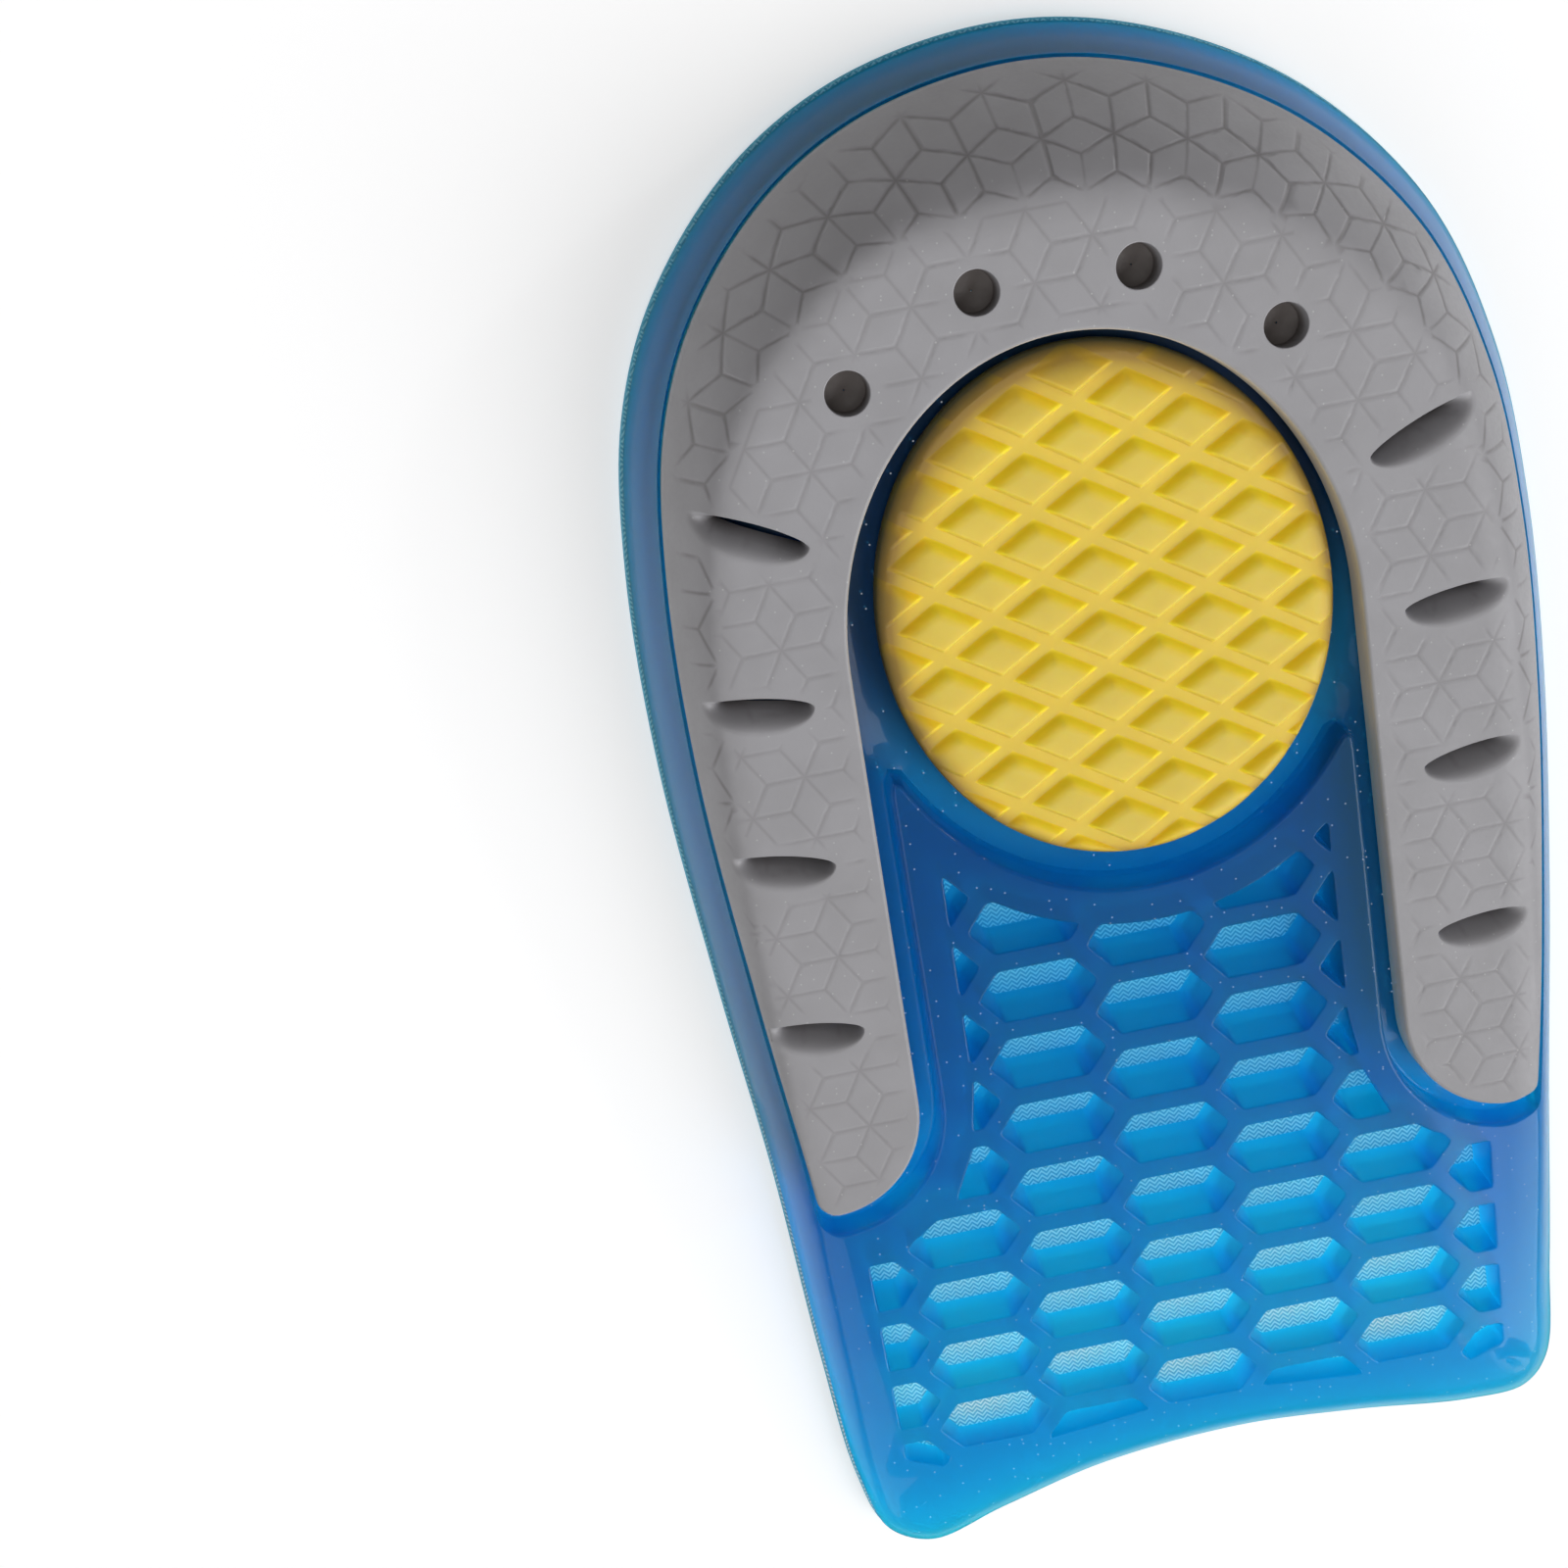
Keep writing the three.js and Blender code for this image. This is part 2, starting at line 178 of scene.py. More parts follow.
# %% Heights of the underside
AXIS_X = -0.8
WEDGE = np.radians(7.0)
UNDERSIDE_AT_ORIGIN = 9.52
UNDERSIDE_NORMAL = np.array([0.0, -np.sin(WEDGE), np.cos(WEDGE)])
GEL_RIM_INSET = 0.3
GEL_RIM_HEIGHT = 1.8
WALL_BEND_OUT = 0.42
WALL_BEND_UP = 0.86
SHOULDER_ROUND = 0.9
CHUNK = 2000


def smoothstep(value, low, high):
    """0 below low, 1 above high, and 3t^2 - 2t^3 between them."""
    t = np.clip((value - low) / (high - low), 0, 1)
    return t * t * (3 - 2 * t)


def underside(y):
    """Height of the flat underside: it rises with y at the wedge angle."""
    return UNDERSIDE_AT_ORIGIN + y * np.tan(WEDGE)


def nearest_on(line, xy):
    """Distance from each point to a closed line, and the place on it as a running number: the foot of the
    perpendicular on every edge, kept within the edge, and the nearest of them all. It works through a chunk
    of points at a time to save memory."""
    step = np.roll(line, -1, axis=0) - line
    size = (step ** 2).sum(axis=1)
    distance = np.empty(len(xy))
    place = np.empty(len(xy))
    for i in range(0, len(xy), CHUNK):
        offset = xy[i:i + CHUNK, None, :] - line[None]
        share = np.clip((offset * step).sum(axis=2) / size, 0, 1)
        far = np.linalg.norm(offset - share[..., None] * step, axis=2)
        best = far.argmin(axis=1)
        rows = np.arange(len(best))
        distance[i:i + CHUNK] = far[rows, best]
        place[i:i + CHUNK] = best + share[rows, best]
    return distance, place


def at_place(values, place):
    """Values of the stations read at a running number, straight between two stations."""
    index = np.floor(place).astype(int)
    share = place - index
    if values.ndim > 1:
        share = share[:, None]
    count = len(values)
    return values[index % count] * (1 - share) + values[(index + 1) % count] * share


SHOULDER_TOP = underside(RIM_LINE[:, 1] + RIM_INWARD[:, 1] * SHOULDER)


def envelope(xy, inset=0.0, drop=0.0):
    """Height of the outer surface, moved in and down by the given amounts.

    With w the share of the way from the shoulder out to the rim, u solves 2u(1-u)b + u^2 = w, and the
    height share is (1-u)^2 + 2u(1-u)c, where b and c place the bend. Inside the shoulder the wall runs
    on straight, and the smooth minimum of wall and plane is taken."""
    distance, place = nearest_on(RIM_LINE, xy)
    shoulder = at_place(SHOULDER, place)
    top = at_place(SHOULDER_TOP, place) - drop
    way = (shoulder - distance + inset) / (shoulder - GEL_RIM_INSET)
    bend = 1 - 2 * WALL_BEND_OUT
    root = np.sqrt(WALL_BEND_OUT ** 2 + bend * np.clip(way, 0, 1))
    u = (root - WALL_BEND_OUT) / bend
    share = (1 - u) ** 2 + 2 * u * (1 - u) * WALL_BEND_UP
    share = share - np.minimum(way, 0) * (1 - WALL_BEND_UP) / WALL_BEND_OUT
    wall = GEL_RIM_HEIGHT + (top - GEL_RIM_HEIGHT) * share
    flat = underside(xy[:, 1]) - drop
    mix = np.clip(0.5 + 0.5 * (wall - flat) / SHOULDER_ROUND, 0, 1)
    return wall * (1 - mix) + flat * mix - SHOULDER_ROUND * mix * (1 - mix)


print(f"underside: {underside(RIM_LINE[:, 1].min()):.1f} to {underside(RIM_LINE[:, 1].max()):.1f} mm high")

# %% [markdown]
# The foot side lies on the table. It is flat at the rim and hollow inside it: a heel cup that gets deeper
# towards the heel. One height over the plan says all of that, and both the cloth and the gel above it are
# made from it.

# %% Heights of the foot side
CLOTH_THICKNESS = 1.0
CLOTH_GAP = 0.3
FRONT_Y = -52.0
FOOT_SLOPE = 0.025
CUP_RISE = 4.5
CUP_FROM_Y = -30.0
CUP_TO_Y = 22.0
CUP_EDGE = (0.03, 0.3)


def foot_height(xy):
    """Height of the lower face of the cloth: 0 at the rim, and inside it a gentle slope plus the heel cup.
    How far inside is a share of the straight line from the rim to the origin."""
    rim_angle = np.unwrap(np.arctan2(RIM_LINE[:, 1], RIM_LINE[:, 0]))
    angle = np.arctan2(xy[:, 1], xy[:, 0])
    reach = np.interp(angle, rim_angle, np.hypot(*RIM_LINE.T), period=2 * np.pi)
    inward = 1 - np.hypot(*xy.T) / reach
    middle = FOOT_SLOPE * (xy[:, 1] - FRONT_Y) + CUP_RISE * smoothstep(xy[:, 1], CUP_FROM_Y, CUP_TO_Y)
    return np.maximum(middle, 0) * smoothstep(inward, *CUP_EDGE)


print(f"heel cup: {foot_height(np.array([[0.0, CUP_TO_Y]]))[0]:.1f} mm deep")

# %% [markdown]
# ## Lines and patches
#
# All pieces are made the same way. Closed lines are drawn on the plan, seen from above. The area between
# them is filled with triangles, every corner is lifted to its height, and bands of quads join one line to
# the next where the surface turns down. Booleans of finished solids would be shorter to write, but they
# leave ragged edges that can't be rounded.

# %% Lines on the plan
FEWEST_POINTS = 16


def signed_area(line):
    """Area inside a closed line: half the sum of x times the next y minus y times the next x. It is
    negative where the line runs clockwise."""
    x, y = line.T
    return np.sum(x * np.roll(y, -1) - y * np.roll(x, -1)) / 2


def closed_line(points, spacing, soften=0.0):
    """Even points along a closed line. Its corners are rounded by averaging with a bell curve whose
    half-width is soften, done on the line's Fourier terms."""
    ring = np.vstack([points, points[:1]])
    run = np.concatenate([[0], np.cumsum(np.hypot(*np.diff(ring, axis=0).T))])
    count = max(int(run[-1] / spacing), FEWEST_POINTS)
    at = np.arange(count) * run[-1] / count
    even = np.column_stack([np.interp(at, run, ring[:, k]) for k in (0, 1)])
    width = soften * count / run[-1]
    bell = np.exp(-2 * (np.pi * np.fft.fftfreq(count) * width) ** 2)
    even = np.fft.ifft(np.fft.fft(even, axis=0) * bell[:, None], axis=0).real
    return even if signed_area(even) > 0 else even[::-1]


def widened(line, amount):
    """An anticlockwise line moved outwards."""
    return line - ways_in(line) * amount


def odd_inside(lines, xy):
    """True where a point has an odd number of line crossings to its right, so holes count as outside."""
    odd = np.zeros(len(xy), bool)
    starts = np.vstack(lines)
    ends = np.vstack([np.roll(line, -1, axis=0) for line in lines])
    for i in range(0, len(xy), CHUNK):
        x, y = (xy[i:i + CHUNK, k, None] for k in (0, 1))
        across = (starts[:, 1] > y) != (ends[:, 1] > y)
        rise = np.where(ends[:, 1] == starts[:, 1], 1, ends[:, 1] - starts[:, 1])
        cut = starts[:, 0] + (y - starts[:, 1]) * (ends[:, 0] - starts[:, 0]) / rise
        odd[i:i + CHUNK] = (across & (x < cut)).sum(axis=1) % 2 == 1
    return odd


def clear_of(lines, xy, room):
    """The points that keep some room from every line."""
    for line in lines:
        near = np.all((xy > line.min(axis=0) - room) & (xy < line.max(axis=0) + room), axis=1)
        distance = np.full(len(xy), np.inf)
        if near.any():
            distance[near] = nearest_on(line, xy[near])[0]
        xy = xy[distance > room]
    return xy


def plan_grid(lines, x_ends, y_ends, step, room):
    """Points of a square grid that lie between the lines, with some room to them."""
    grid = np.stack(np.meshgrid(np.arange(*x_ends, step), np.arange(*y_ends, step)), axis=-1).reshape(-1, 2)
    return clear_of(lines, grid[odd_inside(lines, grid)], room)


print(f"inside the rim: {signed_area(RIM_LINE) / 100:.1f} cm2")

# %% [markdown]
# A filling is a constrained triangulation: it keeps every given line as an edge of the mesh, so a lip or a
# groove runs exactly where it was drawn. A remesh would be quicker but rounds such lines away.

# %% Fillings and bands
HULL_TRIANGLES = 0
SAME_POINT = 1e-5


def fill_plan(lines, points=(), segments=()):
    """Triangles between closed lines. Loose points are added, and loose segments become edges and are
    cut where they cross a line. Points that no triangle uses are dropped."""
    corners = [np.asarray(line) for line in lines]
    edges = []
    start = 0
    for line in corners:
        index = start + np.arange(len(line))
        edges.append(np.column_stack([index, np.roll(index, -1)]))
        start += len(line)
    if len(points):
        corners.append(np.asarray(points))
        start += len(points)
    if len(segments):
        pairs = np.asarray(segments)
        corners.append(pairs.reshape(-1, 2))
        edges.append(start + np.arange(2 * len(pairs)).reshape(-1, 2))
    plan = [Vector(p) for p in np.vstack(corners)]
    made = delaunay_2d_cdt(plan, np.vstack(edges).tolist(), [], HULL_TRIANGLES, SAME_POINT, False)
    xy = np.array([tuple(p) for p in made[0]])
    triangles = np.array(made[2])
    triangles = triangles[odd_inside(corners[:len(lines)], xy[triangles].mean(axis=1))]
    used, place = np.unique(triangles, return_inverse=True)
    return xy[used], place.reshape(-1, 3)


def band(rings):
    """Quads between rings that have equally many points, each ring a closed line of 3-D points."""
    count = len(rings[0])
    index = np.arange(count)
    follow = np.roll(index, -1)
    strip = np.column_stack([index, follow, count + follow, count + index])
    return np.vstack(rings), np.vstack([strip + row * count for row in range(len(rings) - 1)])


def lifted(xy, z):
    """Plan points with a height each, or with one height for all."""
    return np.column_stack([xy, np.broadcast_to(z, len(xy))])


print("rim alone, filled:", len(fill_plan([RIM_LINE])[1]), "triangles")

# %% [markdown]
# Patches become one piece: their corners are joined where they meet, and what is left open is counted. A
# closed piece has no open edge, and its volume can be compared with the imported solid's.

# %% Pieces
SMALLEST_EDGE = 1e-8
CM3 = 0.01 ** 3


def make_piece(name, patches, join=0.002):
    """One object from patches of corners and faces in millimetres. Corners closer than join are made one,
    and the faces are turned outwards."""
    corners = np.vstack([patch[0] for patch in patches]) * MM
    faces = []
    slots = []
    start = 0
    for patch in patches:
        faces += (patch[1] + start).tolist()
        slots += [patch[2] if len(patch) > 2 else 0] * len(patch[1])
        start += len(patch[0])
    mesh = bpy.data.meshes.new(name)
    mesh.from_pydata(corners.tolist(), [], faces)
    mesh.polygons.foreach_set("material_index", slots)
    shell = bmesh.new()
    shell.from_mesh(mesh)
    bmesh.ops.remove_doubles(shell, verts=shell.verts, dist=join * MM)
    bmesh.ops.dissolve_degenerate(shell, edges=shell.edges, dist=SMALLEST_EDGE)
    bmesh.ops.recalc_face_normals(shell, faces=shell.faces)
    open_edges = sum(not edge.is_manifold for edge in shell.edges)
    volume = shell.calc_volume(signed=True) / CM3
    shell.to_mesh(mesh)
    shell.free()
    mesh.shade_smooth()
    piece = bpy.data.objects.new(name, mesh)
    bpy.context.scene.collection.objects.link(piece)
    print(f"{name}: {len(mesh.polygons)} faces, {open_edges} open edges, {volume:.2f} cm3")
    return piece


# %% [markdown]
# Two things can't be seen from the triangles alone: what a point belongs to, which the colours need, and
# the true slope of a rounded surface. The first is kept as a number with every point, the second as the
# shading normal at every corner of a face.

# %% Marks and shading
SHARP_ANGLE = np.radians(50)
LEAST_UPWARD = 0.3


def mark_points(piece, name, reading):
    """Keeps a number with every point of the mesh, read from its place in millimetres, for the colour."""
    place = np.empty(len(piece.data.vertices) * 3)
    piece.data.vertices.foreach_get("co", place)
    values = reading(place.reshape(-1, 3) / MM)
    piece.data.attributes.new(name, "FLOAT", "POINT").data.foreach_set("value", values)


def true_normals(piece, lines, height, reach=0.3, step=0.04):
    """Shades a surface by the slope of the height it was made from, not by its triangles. Faces between the
    lines whose middle lies within reach of that height take part; the others keep their own shading."""
    mesh = piece.data
    place = np.empty(len(mesh.vertices) * 3)
    middle = np.empty(len(mesh.polygons) * 3)
    facing = np.empty(len(mesh.polygons) * 3)
    sizes = np.empty(len(mesh.polygons), int)
    corners = np.empty(len(mesh.loops), int)
    mesh.vertices.foreach_get("co", place)
    mesh.polygons.foreach_get("center", middle)
    mesh.polygons.foreach_get("normal", facing)
    mesh.polygons.foreach_get("loop_total", sizes)
    mesh.loops.foreach_get("vertex_index", corners)
    middle = middle.reshape(-1, 3) / MM
    upper = facing.reshape(-1, 3)[:, 2] > LEAST_UPWARD
    upper[upper] = odd_inside(lines, middle[upper, :2])
    upper[upper] = np.abs(middle[upper, 2] - height(middle[upper, :2])) < reach
    taken = np.repeat(upper, sizes)
    used = np.unique(corners[taken])
    plan = place.reshape(-1, 3)[used, :2] / MM
    slopes = [(height(plan + shift) - height(plan - shift)) / (2 * step) for shift in np.eye(2) * step]
    normal = np.column_stack([-slopes[0], -slopes[1], np.ones(len(plan))])
    normal = normal / np.linalg.norm(normal, axis=1, keepdims=True)
    every = np.zeros((len(mesh.vertices), 3))
    every[used] = normal
    mesh.normals_split_custom_set(np.where(taken[:, None], every[corners], 0.0).tolist())


# %% [markdown]
# ## Outlines of the heel
#
# The horseshoe, its holes and slots and the oval pad lie a little aslant: their right side sits nearer
# the front. Slanting a drawing is one line of arithmetic, so they are drawn straight first.

# %% Horseshoe and pad outlines
HEEL_SLANT = 0.038
U_CENTRE_Y = 15.0
U_HALF_WIDTH = 17.2
U_RISE = 20.7
LEG_Y = -17.0
LEG_CENTRE_X = 25.2
LEG_RADIUS = (7.5, 8.2)
TRENCH = 1.6
PAD_CENTRE = (-0.4, 17.2)
PAD_HALF = (15.3, 17.8)
PAD_MOAT = 2.5
RING_WIDTH = 2.7
ARC_STEPS = 40
LEG_END_STEPS = 24
OVAL_STEPS = 160
FINE_OVAL_STEPS = 400


def slanted(xy):
    """Points moved to the front by a share of how far they lie to the right of the middle."""
    return np.column_stack([xy[:, 0], xy[:, 1] - HEEL_SLANT * (xy[:, 0] - AXIS_X)])


def u_line(grow):
    """Inner edge of the horseshoe from the left leg end over the heel to the right one: half an ellipse,
    two straight legs and a quarter ellipse at each end. grow moves it towards the pad."""
    turn = np.linspace(np.pi / 2, 0, ARC_STEPS)
    arc = np.column_stack([(U_HALF_WIDTH - grow) * np.cos(turn), U_CENTRE_Y + (U_RISE - grow) * np.sin(turn)])
    turn = np.linspace(0, np.pi / 2, LEG_END_STEPS)
    end_x = LEG_CENTRE_X - (LEG_RADIUS[0] + grow) * np.cos(turn)
    end_y = LEG_Y - (LEG_RADIUS[1] + grow) * np.sin(turn)
    right = np.vstack([arc, np.column_stack([end_x, end_y])])
    left = right[::-1] * (-1, 1)
    return slanted(np.vstack([left[:-1], right]) + (AXIS_X, 0))


def rim_arc(inset, leg_end):
    """The rim moved in, from the right leg end round the heel to the left one."""
    line = RIM_LINE + RIM_INWARD * inset
    level = LEG_Y - leg_end - HEEL_SLANT * (line[:, 0] - AXIS_X)
    heel = line[:, 1] > level
    first = np.flatnonzero(heel & ~np.roll(heel, 1))[0]
    order = (first + np.arange(heel.sum())) % len(line)
    return line[order]


def pad_oval(grow, count=OVAL_STEPS):
    """Slanted ellipse round the middle of the pad, with both half widths grown by the same amount."""
    turn = np.arange(count) * 2 * np.pi / count
    x = PAD_CENTRE[0] + (PAD_HALF[0] + grow) * np.cos(turn)
    y = PAD_CENTRE[1] + (PAD_HALF[1] + grow) * np.sin(turn)
    return slanted(np.column_stack([x, y]))


print(f"pad: {2 * PAD_HALF[0]:.1f} by {2 * PAD_HALF[1]:.1f} mm")

# %% [markdown]
# ## The gel body
#
# The gel is one clear casting. Its underside has pockets that go down to the cloth, a recess for the
# horseshoe and a deeper pocket for the pad, which together make one sunk area with one edge. The foot
# side follows the cloth. Where a face turns down, a few rings of points round the lip, because a clear
# material shows an edge only by the light that its rounding catches.

# %% Gel outlines
CELL_PITCH = (8.05, 5.42)
CELL_CORNERS = np.array([(4.2, 0), (2.65, 1.98), (-2.65, 1.98), (-4.2, 0), (-2.65, -1.98), (2.65, -1.98)])
CELL_ROW_ZERO_Y = -4.03
# Columns: column, first row, last row.
CELL_COLUMNS = ((-3, 5, 8), (-2, -0.5, 7.5), (-1, 0, 8), (0, 0.5, 7.5), (1, 0, 8), (2, -0.5, 7.5), (3, 5, 8))
HONEYCOMB_LEFT = np.array([
    (-13.6, 4.0), (-13.6, -16.0), (-14.4, -21.0), (-16.2, -25.0), (-19.2, -27.3), (-23.3, -28.7),
    (-23.3, -46.4), (-19.1, -48.4), (-11.6, -47.1), (-3.0, -46.2),
])
HONEYCOMB_RIGHT = np.array([
    (4.5, -46.3), (13.6, -47.3), (19.7, -48.3), (23.2, -46.8), (23.2, -28.9), (19.2, -27.3), (16.2, -25.0),
    (14.4, -21.0), (13.6, -16.0), (13.6, 4.0),
])
SMALLEST_POCKET = 0.4
POCKET_SPACING = 0.35
POCKET_SOFTEN = 0.16
SUNK_SPACING = 0.55
SUNK_SOFTEN = 0.55
LIP = 0.3
FLANGE_LIP = 0.06
FLANGE_INSET = 2.5


def sunk_line():
    """Edge of everything that is sunk into the underside: the horseshoe's recess and, between its legs,
    the front of the pad's pocket."""
    u = u_line(TRENCH + LIP)
    oval = pad_oval(PAD_MOAT + LIP, FINE_OVAL_STEPS)
    front = oval[(oval[:, 1] < PAD_CENTRE[1]) & (np.abs(oval[:, 0] - AXIS_X) < U_HALF_WIDTH - TRENCH)]
    outside = ~odd_inside([oval], u) & (u[:, 1] < PAD_CENTRE[1])
    left = u[outside & (u[:, 0] < AXIS_X)]
    right = u[outside & (u[:, 0] > AXIS_X)]
    flange = rim_arc(FLANGE_INSET, LEG_RADIUS[1] + TRENCH + LIP)
    return closed_line(np.vstack([left, front, right, flange]), SUNK_SPACING, SUNK_SOFTEN)


def clipped(shape, convex):
    """The part of a closed shape inside a convex one, cut by one edge after the other."""
    for start, end in zip(convex, np.roll(convex, -1, axis=0)):
        side = np.cross(end - start, shape - start)
        follow = np.roll(shape, -1, axis=0)
        next_side = np.roll(side, -1)
        share = side / np.where(side == next_side, 1, side - next_side)
        kept = []
        for p, q, s, a, b in zip(shape, follow, share, side, next_side):
            if a >= 0:
                kept.append(p)
            if (a >= 0) != (b >= 0):
                kept.append(p + (q - p) * s)
        if len(kept) < 3:
            return None
        shape = np.array(kept)
    return shape


def pocket_lines():
    """The honeycomb's cells, each cut to the outline of the whole field."""
    oval = pad_oval(PAD_MOAT + RING_WIDTH, FINE_OVAL_STEPS)
    half = np.abs(HONEYCOMB_LEFT[0, 0])
    top = oval[(oval[:, 1] < PAD_CENTRE[1]) & (np.abs(oval[:, 0] - AXIS_X) < half)]
    field = np.vstack([HONEYCOMB_LEFT[1:] + (AXIS_X, 0), HONEYCOMB_RIGHT[:-1] + (AXIS_X, 0), top[::-1]])
    lines = []
    for column, first, last in CELL_COLUMNS:
        for row in np.arange(first, last + 0.5):
            middle = np.array([AXIS_X + column * CELL_PITCH[0], CELL_ROW_ZERO_Y])
            middle[1] -= row * CELL_PITCH[1] * np.cos(WEDGE)
            cell = clipped(field, CELL_CORNERS * (1, np.cos(WEDGE)) + middle)
            if cell is not None and abs(signed_area(cell)) > SMALLEST_POCKET:
                lines.append(closed_line(cell, POCKET_SPACING, POCKET_SOFTEN))
    return lines


SUNK = sunk_line()
POCKETS = pocket_lines()
print("pockets:", len(POCKETS), " sunk edge points:", len(SUNK))

# %% [markdown]
# The walls of the gel follow from these lines: rings of points go down each wall, closest together where
# the lip and the foot are round. The sunk floor is the outer surface again, moved in and down, so that the
# horseshoe fits it everywhere.

# %% Gel walls
RECESS_DROP = 2.7
RECESS_INSET = 2.3
RECESS_LOWEST = 3.7
PAD_POCKET_DROP = 3.2
PAD_POCKET_EDGE = (1.03, 0.97)
POCKET_LIP = 0.15
POCKET_WALL_SHARES = (0.33, 0.66, 1.0)
DEPTH_ROUNDS = 12
LIP_TURNS = np.radians([0, 22.5, 45, 67.5, 90])
LIP_SHARE = 0.11
FLANGE_TO_LIP = (FLANGE_INSET + 0.1, FLANGE_INSET + 1.5)
WALL_DRAFT = 0.12


def recess_floor(xy):
    """Height of the sunk floor: the outer surface moved in and down, and lower still under the pad."""
    floor = np.maximum(envelope(xy, RECESS_INSET, RECESS_DROP), RECESS_LOWEST)
    x = (xy[:, 0] - PAD_CENTRE[0]) / (PAD_HALF[0] + PAD_MOAT)
    y = (xy[:, 1] + HEEL_SLANT * (xy[:, 0] - AXIS_X) - PAD_CENTRE[1]) / (PAD_HALF[1] + PAD_MOAT)
    return floor - (PAD_POCKET_DROP - RECESS_DROP) * smoothstep(np.hypot(x, y), *PAD_POCKET_EDGE)


def gel_foot(xy):
    """Height of the gel's foot side: the cloth's upper face and the gap over it."""
    return foot_height(xy) + CLOTH_THICKNESS + CLOTH_GAP


def sunk_rings():
    """Rings down the wall of the sunk area: a round lip, a nearly upright wall and a round foot."""
    top = envelope(SUNK)
    depth = top - recess_floor(SUNK)
    inset = nearest_on(RIM_LINE, SUNK)[0]
    lip = FLANGE_LIP + (LIP - FLANGE_LIP) * smoothstep(inset, *FLANGE_TO_LIP)
    rows = [(lip * np.sin(t), LIP_SHARE * (1 - np.cos(t))) for t in LIP_TURNS]
    rows += [(lip + WALL_DRAFT + lip * (1 - np.cos(t)), 1 - LIP_SHARE * (1 - np.sin(t))) for t in LIP_TURNS]
    rings = []
    for inward, share in rows:
        line = widened(SUNK, -inward[:, None])
        rings.append(lifted(line, envelope(line) if share == 0 else top - depth * share))
    rings[-1][:, 2] = recess_floor(rings[-1][:, :2])
    return rings


def pocket_rings(line):
    """Rings down one pocket, square to the underside: a round lip and an upright wall to the foot side. The
    wall's depth is found in a few rounds, each adding the height that is left."""
    rings = []
    for t in LIP_TURNS:
        ring = widened(line, POCKET_LIP * (1 - np.sin(t)))
        ring = lifted(ring, envelope(ring))
        rings.append(ring - UNDERSIDE_NORMAL * POCKET_LIP * (1 - np.cos(t)))
    start = rings[-1]
    depth = np.zeros(len(start))
    for _ in range(DEPTH_ROUNDS):
        end = start - UNDERSIDE_NORMAL * depth[:, None]
        depth = depth + end[:, 2] - gel_foot(end[:, :2])
    for share in POCKET_WALL_SHARES:
        rings.append(start - UNDERSIDE_NORMAL * (share * depth)[:, None])
    rings[-1][:, 2] = gel_foot(rings[-1][:, :2])
    return rings


SUNK_RINGS = sunk_rings()
POCKET_RINGS = [pocket_rings(line) for line in POCKETS]
print("rings down the sunk edge:", len(SUNK_RINGS), " down a pocket:", len(POCKET_RINGS[0]))

# %% [markdown]
# Between the walls lie three flat stretches: the outer surface, the sunk floor and the foot side. On the
# outer surface the filling gets points along the wall, closest at the shoulder where it bends most.

# %% Gel surfaces
WALL_LEVELS = np.array([0.1, 0.25, 0.42, 0.58, 0.72, 0.84, 0.94, 1.04, 1.15, 1.3, 1.5, 1.75])
WALL_ROOM = 0.3
# Columns: inset from the rim, height.
RIM_UNDER = ((0.31, 1.62), (0.4, 1.45), (0.6, 1.34))
ACROSS = (-32, 32)
HEEL_STRETCH = (-30, 56)
WHOLE_STRETCH = (-56, 56)
# Columns: step of the grid, room to the lines.
FLOOR_GRID = (1.1, 0.5)
FOOT_GRID = (1.6, 0.6)


def gel_patches():
    """Bands down the walls and round the rim, and the three fillings between them."""
    patches = [band(SUNK_RINGS)] + [band(rings) for rings in POCKET_RINGS]
    rim = lifted(RIM_LINE + RIM_INWARD * GEL_RIM_INSET, GEL_RIM_HEIGHT)
    rim[:, 2] = envelope(rim[:, :2])
    under = [lifted(RIM_LINE + RIM_INWARD * inset, height) for inset, height in RIM_UNDER]
    under[-1][:, 2] = gel_foot(under[-1][:, :2])
    patches.append(band([rim] + under))
    upper = [rim[:, :2], SUNK_RINGS[0][:, :2]] + [rings[0][:, :2] for rings in POCKET_RINGS]
    insets = [GEL_RIM_INSET + (SHOULDER - GEL_RIM_INSET) * level for level in WALL_LEVELS]
    levels = np.vstack([RIM_LINE + RIM_INWARD * inset[:, None] for inset in insets])
    xy, faces = fill_plan(upper, clear_of(upper, levels[odd_inside(upper, levels)], WALL_ROOM))
    patches.append((lifted(xy, envelope(xy)), faces))
    floor = [SUNK_RINGS[-1][:, :2]]
    xy, faces = fill_plan(floor, plan_grid(floor, ACROSS, HEEL_STRETCH, *FLOOR_GRID))
    patches.append((lifted(xy, recess_floor(xy)), faces))
    lower = [under[-1][:, :2]] + [rings[-1][:, :2] for rings in POCKET_RINGS]
    xy, faces = fill_plan(lower, plan_grid(lower, ACROSS, WHOLE_STRETCH, *FOOT_GRID))
    patches.append((lifted(xy, gel_foot(xy)), faces))
    return patches


GEL_PATCHES = gel_patches()
print("gel patches:", len(GEL_PATCHES))

# %% [markdown]
# Thick clear gel is darker than thin gel, and darker still where the opaque horseshoe and pad keep light
# away. A renderer can work that out from the way light takes through the volume, but only with very many
# bounces, so the shade is painted: a number with every point darkens the colour, it grows with the
# thickness, and grows faster in the moat round the pad.

# %% Gel piece
# Painted shade on the gel: how strong it grows towards the heel and in the moat.
THICK_SHADE = 0.48
THICK_Y = (-34, 8)
THICK_INSET = (2.5, 5.0)
MOAT_SHADE = 0.84
MOAT_LEAN = 0.25
MOAT_Y = (-4, 22)
MOAT_INSET = 6


